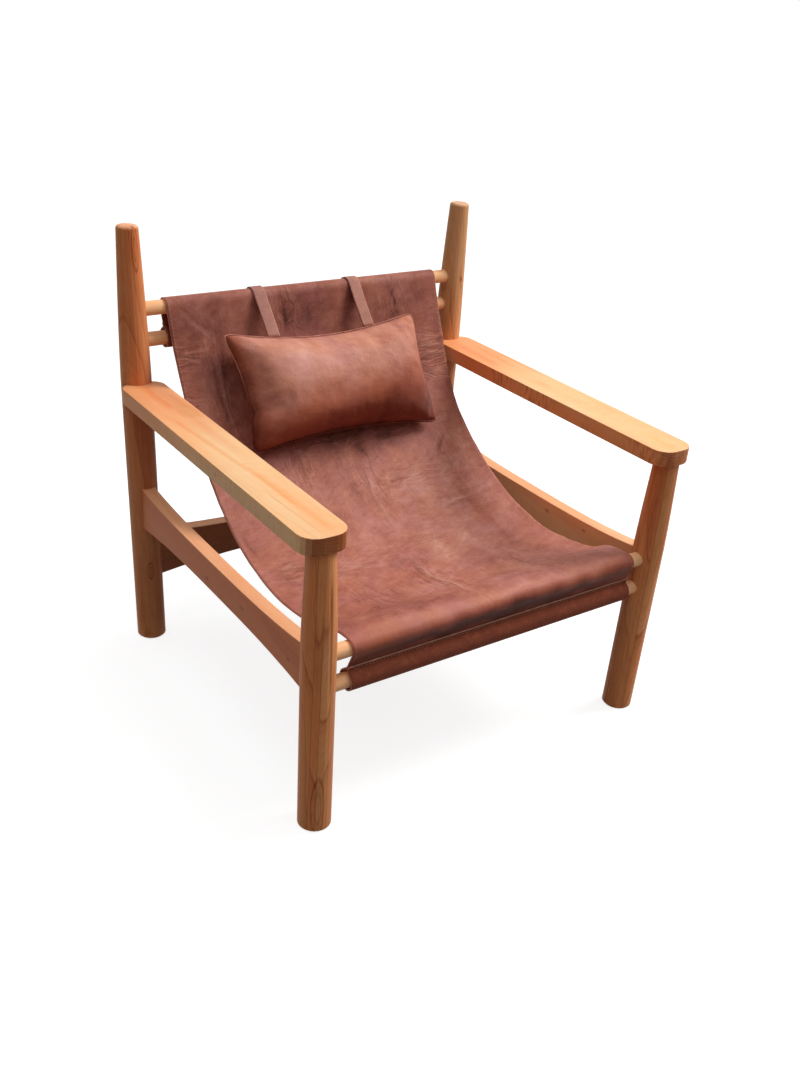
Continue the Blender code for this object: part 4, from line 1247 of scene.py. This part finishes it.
def stitch_mesh(name, runs):
    """Short bowed threads between (start, end, normal) triples."""
    places, faces = [], []
    sides, rings = thread_sides, thread_rings
    for start, end, normal in runs:
        along = end - start
        aside = along.cross(normal).normalized()
        base = len(places)
        for ring in range(rings):
            t = ring / (rings - 1)
            lift = math.sin(math.pi * t) * thread_radius * 1.1 - thread_radius * 0.9
            radius = thread_radius * (0.55 + 0.45 * math.sin(math.pi * t))
            middle = start + along * t + normal * lift
            for k in range(sides):
                turn = 2 * math.pi * k / sides
                places.append(middle + radius * (math.cos(turn) * aside + math.sin(turn) * normal))
        for ring in range(rings - 1):
            for k in range(sides):
                a = base + ring * sides + k
                b = base + ring * sides + (k + 1) % sides
                faces.append((a, b, b + sides, a + sides))
        faces.append(tuple(base + k for k in reversed(range(sides))))
        faces.append(tuple(base + (rings - 1) * sides + k for k in range(sides)))
    mesh = bpy.data.meshes.new(name)
    mesh.from_pydata([tuple(p) for p in places], [], faces)
    mesh.shade_smooth()
    return mesh


def sew_sling(sling):
    runs = []
    pitch = stitch_length + stitch_space
    lift = leather / 2
    for side in (-1, 1):
        s = route.seat_start - seam_past_rolls
        while s < route.seat_end + seam_past_rolls:
            p, n = sling.at(edge_inset, s, side)
            q, m = sling.at(edge_inset, s + stitch_length, side)
            runs.append((p + n * lift, q + m * lift, n))
            s += pitch
    for s in (route.along[0] + hem_inset, route.along[-1] - hem_inset):
        x = hem_margin
        while x < hem_end:
            p, n = sling.at(x, s, -1)
            q, m = sling.at(x + stitch_length, s, -1)
            runs.append((p - n * lift, q - m * lift, -n))
            x += pitch
    thread = waxed_thread("Sling thread", (0.52, 0.30, 0.22))
    add_piece("sling_stitching", stitch_mesh("Sling stitching", runs), "frame", (thread,))


# Pillow
def pillow_matrix():
    """The pillow's frame: X across, Y up the slope of the sling, Z out of its front."""
    turn = Matrix.Rotation(math.radians(pillow_angle), 4, "X")
    offset = turn @ Vector((0, -pillow_drop, pillow_standoff))
    return Matrix.Translation(Vector((0, back_upper.x, back_upper.y)) + offset) @ turn


def sling_room():
    """Places up the pillow's slope, and the room there between its seam plane and the sling."""
    into = pillow_matrix().inverted()
    s = np.linspace(route.seat_start, route.seat_start + 0.5, 200)
    y, z, ny, nz = route.at(s)
    local = [into @ Vector((0, a + c * leather / 2, b + d * leather / 2)) for a, b, c, d in zip(y, z, ny, nz)]
    pairs = sorted((p.y, -p.z) for p in local)
    return np.array(pairs)


# How far each corner of the pillow is pulled: its side and end, then out and up in millimetres
pillow_corners = ((-1, 1, -8.0, 5.0), (1, 1, 4.0, 1.0), (1, -1, 5.0, -4.0))
pillow_ease = 0.0015
# How far the sides and the long seams are drawn in at their middles, and each corner is blunted
left_waist, right_waist = 0.017, 0.013
top_draw, bottom_draw = 0.024, 0.018
top_left_blunt, bottom_left_blunt, top_right_blunt, bottom_right_blunt = 0.0065, 0.0110, 0.0080, 0.0055
pinch_height, pinch_depth = -0.036, 0.0070
sling_clearance = 0.0032
seam_half_width = 0.11
# The crease behind the pinch, and the tuck at the bottom right, as lines on the pillow's front
crease_line, crease_half_width = ((-0.212, -0.036), (-0.190, -0.030), (-0.150, -0.012)), 0.0055
tuck_line, tuck_half_width, tuck_depth = ((0.170, -0.052), (0.186, -0.078), (0.194, -0.106)), 0.0070, 0.0025
# Folds that fan in from the four corners
fan_start, fan_end, fan_half_width, fan_depth = (0.205, 0.108), (0.150, 0.062), 0.0075, 0.0030


def pillow_outline(u, w, ease=0.0):
    """The seam's line, drawn in between the corners, with the corners turned round."""
    waist = np.where(u < 0, left_waist, right_waist)
    x = u * (pillow_width / 2 - waist * (1 - np.abs(w) ** 1.8) - ease)
    draw = np.where(w > 0, top_draw, bottom_draw)
    y = w * (pillow_height / 2 - draw * (1 - u * u) - ease)
    blunt = np.where(u < 0, np.where(w < 0, bottom_left_blunt, top_left_blunt),
                     np.where(w < 0, bottom_right_blunt, top_right_blunt))
    corner = (np.abs(u) ** 22) * (np.abs(w) ** 12) * blunt
    pinch = pinch_depth * np.exp(-((y - pinch_height) / 0.010) ** 2) * (1 - smoothstep(-1.0, -0.70, u))
    x = x - np.sign(u) * corner + pinch
    y = y - np.sign(w) * corner
    for end_u, end_w, out, up in pillow_corners:
        near = (np.maximum(u * end_u, 0) * np.maximum(w * end_w, 0)) ** 1.5
        x, y = x + out * mm * near, y + up * mm * near
    return x, y


def seam_top(x):
    """Height of the pillow's top seam in its own frame, at a place across."""
    u = np.linspace(-1, 1, 401)
    outline_x, outline_y = pillow_outline(u, np.ones(401), pillow_ease)
    return float(np.interp(x, outline_x, outline_y))


def pillow_panels(columns, rows):
    """Two grids of places in the pillow's frame, front and back, that share their border."""
    u, w = np.meshgrid(np.linspace(-1, 1, columns), np.linspace(-1, 1, rows))
    x, y = pillow_outline(u, w, pillow_ease)
    sunk = w + 0.10 * (1 - w * w)
    swell = (1 - np.abs(u) ** 4.4).clip(0) ** 0.52 * (1 - np.abs(sunk) ** 2.2).clip(0) ** 0.58
    front = pillow_front_crown * swell
    crease, share = along_line(x, y, crease_line)
    front = front - pinch_depth * np.exp(-(crease / crease_half_width) ** 2) * (1 - share) * swell
    tuck, share = along_line(x, y, tuck_line)
    front = front - tuck_depth * np.exp(-(tuck / tuck_half_width) ** 2) * np.sin(np.pi * share) ** 0.5
    for side in (-1, 1):
        for end in (-1, 1):
            fan, share = along_line(x, y, [(side * px, end * py) for px, py in (fan_start, fan_end)])
            depth = fan_depth * (0.7 + 0.3 * side * end)
            front = front - depth * np.exp(-(fan / fan_half_width) ** 2) * np.sin(np.pi * share)
    front = front + 0.0011 * soft_noise(x / 0.045, y / 0.030, 61) * swell
    table = sling_room()
    room = np.interp(y, table[:, 0], table[:, 1]) - sling_clearance
    back = np.minimum(pillow_back_crown * swell, room)
    back = np.where(swell > 0, back, 0)
    return u, w, np.stack([x, y, front], -1), np.stack([x, y, -back], -1)


def sew_panels(name, front, back):
    """One closed mesh from two grids that share their border."""
    rows, columns = front.shape[:2]
    index = np.arange(rows * columns).reshape(rows, columns)
    inner = np.zeros((rows, columns), bool)
    inner[1:-1, 1:-1] = True
    second = index.copy()
    second[inner] = rows * columns + np.arange(inner.sum())
    places = np.concatenate([front.reshape(-1, 3), back[inner]])
    faces = np.concatenate([quads(index), quads(second)[:, ::-1]])
    mesh = bpy.data.meshes.new(name)
    mesh.from_pydata(places.tolist(), [], faces.tolist())
    return mesh, index, second


def ring_tube(name, line, radius, sides):
    """A tube along a closed line of points."""
    count = len(line)
    places, faces = [], []
    for i, point in enumerate(line):
        along = (line[(i + 1) % count] - line[i - 1]).normalized()
        aside = along.cross(Vector((0, 0, 1)))
        aside = aside.normalized() if aside.length > 1e-6 else Vector((1, 0, 0))
        over = aside.cross(along)
        for k in range(sides):
            turn = 2 * math.pi * k / sides
            places.append(point + radius * (math.cos(turn) * aside + math.sin(turn) * over))
    for i in range(count):
        for k in range(sides):
            a, b = i * sides + k, i * sides + (k + 1) % sides
            c, d = ((i + 1) % count) * sides + (k + 1) % sides, ((i + 1) % count) * sides + k
            faces.append((a, b, c, d))
    mesh = bpy.data.meshes.new(name)
    mesh.from_pydata([tuple(p) for p in places], [], faces)
    mesh.shade_smooth()
    return mesh


def fit_pillow(places, before, grids, u, w):
    """Bring the swollen skin's seam back to its line, and its back flat where it lies on the sling.

    The seam's correction is spread over each panel from its four sides.
    """
    across, up = (u + 1) / 2, (w + 1) / 2
    for grid in grids:
        fix = (before - places)[grid]
        left, right, foot, head = fix[:, :1], fix[:, -1:], fix[:1, :], fix[-1:, :]
        a, b = across[..., None], up[..., None]
        corners = ((1 - a) * (1 - b) * fix[0, 0] + a * (1 - b) * fix[0, -1]
                   + (1 - a) * b * fix[-1, 0] + a * b * fix[-1, -1])
        spread = (1 - a) * left + a * right + (1 - b) * foot + b * head - corners
        inner = (slice(1, -1), slice(1, -1))
        places[grid[inner]] += spread[inner]
    border = np.zeros(len(places), bool)
    for grid in grids:
        border[grid[0]] = border[grid[-1]] = border[grid[:, 0]] = border[grid[:, -1]] = True
    places[border] = before[border]
    front = places[:, 2] > 0
    places[front, 2] *= pillow_front_crown / places[:, 2].max()
    table = sling_room()
    room = np.interp(places[:, 1], table[:, 0], table[:, 1]) - sling_clearance
    places[:, 2] = np.maximum(places[:, 2], -np.minimum(room, pillow_back_crown))
    return places


air_pressure = 5.0
air_frames = 20
most_swell = 0.016
seam_shrink = 0.05
share_of_air = 0.5


def fill_with_air(item):
    """Let Cloth swell a closed skin; its border shrinks a little, as a sewn seam does."""
    mesh = item.data
    count = len(mesh.vertices)
    before = np.zeros(count * 3)
    mesh.vertices.foreach_get("co", before)
    cloth = item.modifiers.new("Air", "CLOTH")
    settings = cloth.settings
    settings.quality = 6
    settings.mass = 0.3
    settings.tension_stiffness = settings.compression_stiffness = 40
    settings.shear_stiffness = 20
    settings.bending_stiffness = 1.5
    settings.use_pressure = True
    settings.uniform_pressure_force = air_pressure
    settings.effector_weights.gravity = 0
    settings.vertex_group_shrink = "Seam"
    settings.shrink_min = 0.0
    settings.shrink_max = seam_shrink
    cloth.point_cache.frame_start = 1
    cloth.point_cache.frame_end = air_frames
    for moment in range(1, air_frames + 1):
        bpy.context.scene.frame_set(moment)
    settled = item.evaluated_get(bpy.context.evaluated_depsgraph_get()).to_mesh()
    after = np.zeros(count * 3)
    settled.vertices.foreach_get("co", after)
    item.modifiers.remove(cloth)
    bpy.context.scene.frame_set(1)
    move = (after - before).reshape(-1, 3)
    size = np.linalg.norm(move, axis=1, keepdims=True)
    move *= np.minimum(1, most_swell / np.maximum(size, 1e-9))
    return before.reshape(-1, 3) + move


def puff_up(mesh, near_seam, grids, u, w):
    """Blow the sewn skin up a little and bring it back within its seam and off the sling."""
    trial = bpy.data.objects.new("Pillow trial", mesh)
    bpy.context.collection.objects.link(trial)
    seam = trial.vertex_groups.new(name="Seam")
    for vertex, near in enumerate(near_seam):
        seam.add([vertex], float(near), "REPLACE")
    flat = np.array([tuple(v.co) for v in mesh.vertices])
    swollen = fill_with_air(trial)
    bpy.data.objects.remove(trial)
    swollen = fit_pillow(flat + (swollen - flat) * share_of_air, flat, grids, u, w)
    mesh.vertices.foreach_set("co", swollen.ravel())


pillow_columns, pillow_rows = 73, 41
welt_radius = 0.0012
welt_out = 0.0006


def make_pillow():
    matrix = pillow_matrix()
    u, w, front, back = pillow_panels(pillow_columns, pillow_rows)
    mesh, index, second = sew_panels("Pillow", front, back)
    count = len(mesh.vertices)
    lay = np.zeros((count, 3))
    lay[index.ravel()] = np.stack([front[..., 0], front[..., 1], front[..., 0] * 0], -1).reshape(-1, 3)
    inner = second != index
    lay[second[inner]] = np.stack([back[..., 0], back[..., 1], back[..., 0] * 0 + 0.7], -1)[inner]
    write_lay(mesh, lay[:, 0], lay[:, 1], lay[:, 2])
    rim = np.minimum(1 - np.abs(u), 1 - np.abs(w))
    marks = np.zeros(count)
    marks[index.ravel()] = (rim * seam_half_width).ravel()
    marks[second[inner]] = (rim * seam_half_width)[inner]
    # Painted shade: the pillow's lower half and its two ends get the deep and orange-brown tints.
    shaded_lower_half = 1 - smoothstep(-0.115, 0.035, lay[:, 1] - 0.15 * lay[:, 0])
    shaded_left_end = 1 - smoothstep(-0.215, -0.165, lay[:, 0])
    shaded_right_end = smoothstep(0.140, 0.225, lay[:, 0])
    wear = np.clip(1.0 - 0.95 * shaded_lower_half - 0.50 * shaded_left_end - 0.25 * shaded_right_end, 0, 1)
    # A pull below 0 draws a dark line beside the seam: painted shade in its groove.
    write_marks(mesh, gap=marks - 0.0022, pull=-0.9 * np.exp(-(marks / 0.006) ** 2),
                stain=stain(lay[:, 0], lay[:, 1], pillow_stains_and_painted_light), wear=wear,
                warm=1 - smoothstep(0.45, 1.0, wear))
    puff_up(mesh, np.clip(1 - marks / 0.016, 0, 1), (index, second), u, w)
    mesh.transform(matrix)
    mesh.shade_smooth()
    skin = hide("Pillow leather", pillow_shades, pillow_shade_tint, roughness=0.45, grain_scale=900.0,
                specular=0.12)
    item = add_piece("pillow_skin", mesh, "pillow", (skin,))
    soft = item.modifiers.new("Soft", "SUBSURF")
    soft.levels = soft.render_levels = 1
    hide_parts("pillow_cover", "pillow_filling", "pillow_zip")
    border = list(index[0, :]) + list(index[1:, -1]) + list(index[-1, -2::-1]) + list(index[-2:0:-1, 0])
    line = [mesh.vertices[int(i)].co.copy() for i in border]
    local = [matrix.inverted() @ p for p in line]
    outward = [matrix @ (p + Vector((p.x, p.y, 0)).normalized() * welt_out) for p in local]
    welt = ring_tube("Welt", outward, welt_radius, 8)
    places = np.array([tuple(v.co) for v in welt.vertices])
    heights = places[:, 2]
    # The welt gets the deep and orange-brown tints towards its bottom: painted shade, as on the pillow's
    # lower half.
    wear = smoothstep(heights.min() + 0.06, heights.max() - 0.03, heights)
    write_lay(welt, *places.T)
    write_marks(welt, stain=-0.15, wear=wear, warm=1 - wear)
    add_piece("pillow_welt", welt, "pillow", (skin,))


# Straps
strap_lift = leather / 2 + roll_gap + strap_thickness / 2
strap_roll_radius = roll_radius + strap_lift
strap_columns = 9
strap_stitch = 0.0036
strap_stitch_pitch = 0.0048
strap_edge_inset = 0.0022
stitches_from_tail, stitches_from_seam = 0.003, 0.006
strap_cup = 0.00025
strap_waver = 0.0006
tail_steps, hang_steps = 8, 14


def strap_line(x):
    """From the tail on the curtain behind, over the roll, down to the pillow's top seam."""
    tail_top = back_hem.roll_touch + back_hem.out * strap_lift
    tail_end = tail_top - back_hem.up * strap_tail
    seam = pillow_matrix() @ Vector((0, seam_top(x) + 0.0010, 0))
    local = Vector((seam.y - back_upper.x, seam.z - back_upper.y))
    leave = touch_angle(Vector((0, 0)), strap_roll_radius, local, -1)
    if leave < 0:
        leave += 360
    wrap = arc(Vector((0, 0)), strap_roll_radius, back_hem.roll_angle, leave)
    start = [tail_end + (wrap[0] - tail_end) * i / tail_steps for i in range(tail_steps)]
    rest = [wrap[-1] + (local - wrap[-1]) * i / hang_steps for i in range(1, hang_steps + 1)]
    return back_hem.world(start + wrap + rest), back_hem.world([wrap[0]])[0], back_hem.world([wrap[-1]])[0]


def make_strap(label, x):
    line, back_point, front_point = strap_line(x)
    points = np.array([tuple(p) for p in line])
    tangent = np.gradient(points, axis=0)
    tangent /= np.hypot(*tangent.T)[:, None]
    normal = np.stack([tangent[:, 1], -tangent[:, 0]], -1)
    u = np.linspace(-1, 1, strap_columns)
    run = np.concatenate([[0], np.cumsum(np.hypot(*np.diff(points, axis=0).T))])
    drift = strap_waver * soft_noise(run / 0.03, run * 0 + x * 50, 41)
    places = np.zeros((len(points), strap_columns, 3))
    places[..., 0] = x + u[None, :] * strap_width / 2 + drift[:, None]
    cup = -strap_cup * u[None, :] ** 2
    places[..., 1] = points[:, 0:1] + normal[:, 0:1] * cup
    places[..., 2] = points[:, 1:2] + normal[:, 1:2] * cup
    mesh = grid_mesh("Strap " + label, places)
    outward = np.concatenate([normal[:, 0:1] * 0, normal], axis=1)
    normals = np.repeat(outward[:, None, :], strap_columns, axis=1)
    face_along(mesh, normals)
    write_lay(mesh, places[..., 0], np.repeat(run[:, None], strap_columns, 1), 0.3)
    write_marks(mesh, rim=np.repeat((strap_width / 2 * (1 - np.abs(u)))[None, :], len(points), 0))
    mesh.shade_smooth()
    face = hide("Strap leather, " + label, strap_shades, sling_deep, roughness=0.55, grain_scale=900.0)
    flesh = raw_hide("Strap flesh side, " + label, (0.36, 0.17, 0.12))
    edge = raw_hide("Strap edge, " + label, (0.30, 0.12, 0.08), 0.6)
    item = add_piece("pillow_strap_band_" + label, mesh, None, (face, flesh, edge))
    thicken(item, strap_thickness)
    settle(item)
    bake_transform(item)
    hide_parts("pillow_strap_" + label)
    runs = []
    for side in (-1, 1):
        reach = run[0] + stitches_from_tail
        while reach < run[-1] - stitches_from_seam:
            ends = []
            for s in (reach, reach + strap_stitch):
                y, z, ny, nz = [np.interp(s, run, values) for values in (*points.T, *normal.T)]
                row_x = x + side * (strap_width / 2 - strap_edge_inset)
                ends.append((Vector((row_x, y, z)), Vector((0, ny, nz)).normalized()))
            (p, n), (q, m) = ends
            runs.append((p + n * strap_thickness / 2, q + m * strap_thickness / 2, n))
            reach += strap_stitch_pitch
    thread = waxed_thread("Strap thread, " + label, (0.62, 0.40, 0.32))
    stitches = stitch_mesh("Strap stitching " + label, runs)
    sewn = add_piece("strap_stitching_" + label, stitches, None, (thread,))
    bpy.context.view_layer.update()
    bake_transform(sewn)


bright_brass = (0.50, 0.36, 0.18)
dull_brass = (0.28, 0.19, 0.10)


def finish_metal():
    for label in ("left", "right"):
        brass = Finish("Stud brass, " + label)
        tarnish = brass.cloud(brass.place(), 260.0, 3.0, 0.6)
        colour = brass.tint(brass.fade(tarnish, 0.45, 0.7), bright_brass, dull_brass)
        brass.feed(main_shader, Base_Color=colour, Metallic=1, Roughness=0.28 + tarnish * 0.25)
        finish_node("strap_stud_" + label, brass.owner)


# Everything together
bpy.context.scene.view_settings.view_transform = "Standard"
set_camera()
set_world()
set_lamp()
set_floor()
finish_wood()
finish_metal()
sling = make_sling()
sew_sling(sling)
make_pillow()
for label, x in strap_places.items():
    make_strap(label, x)
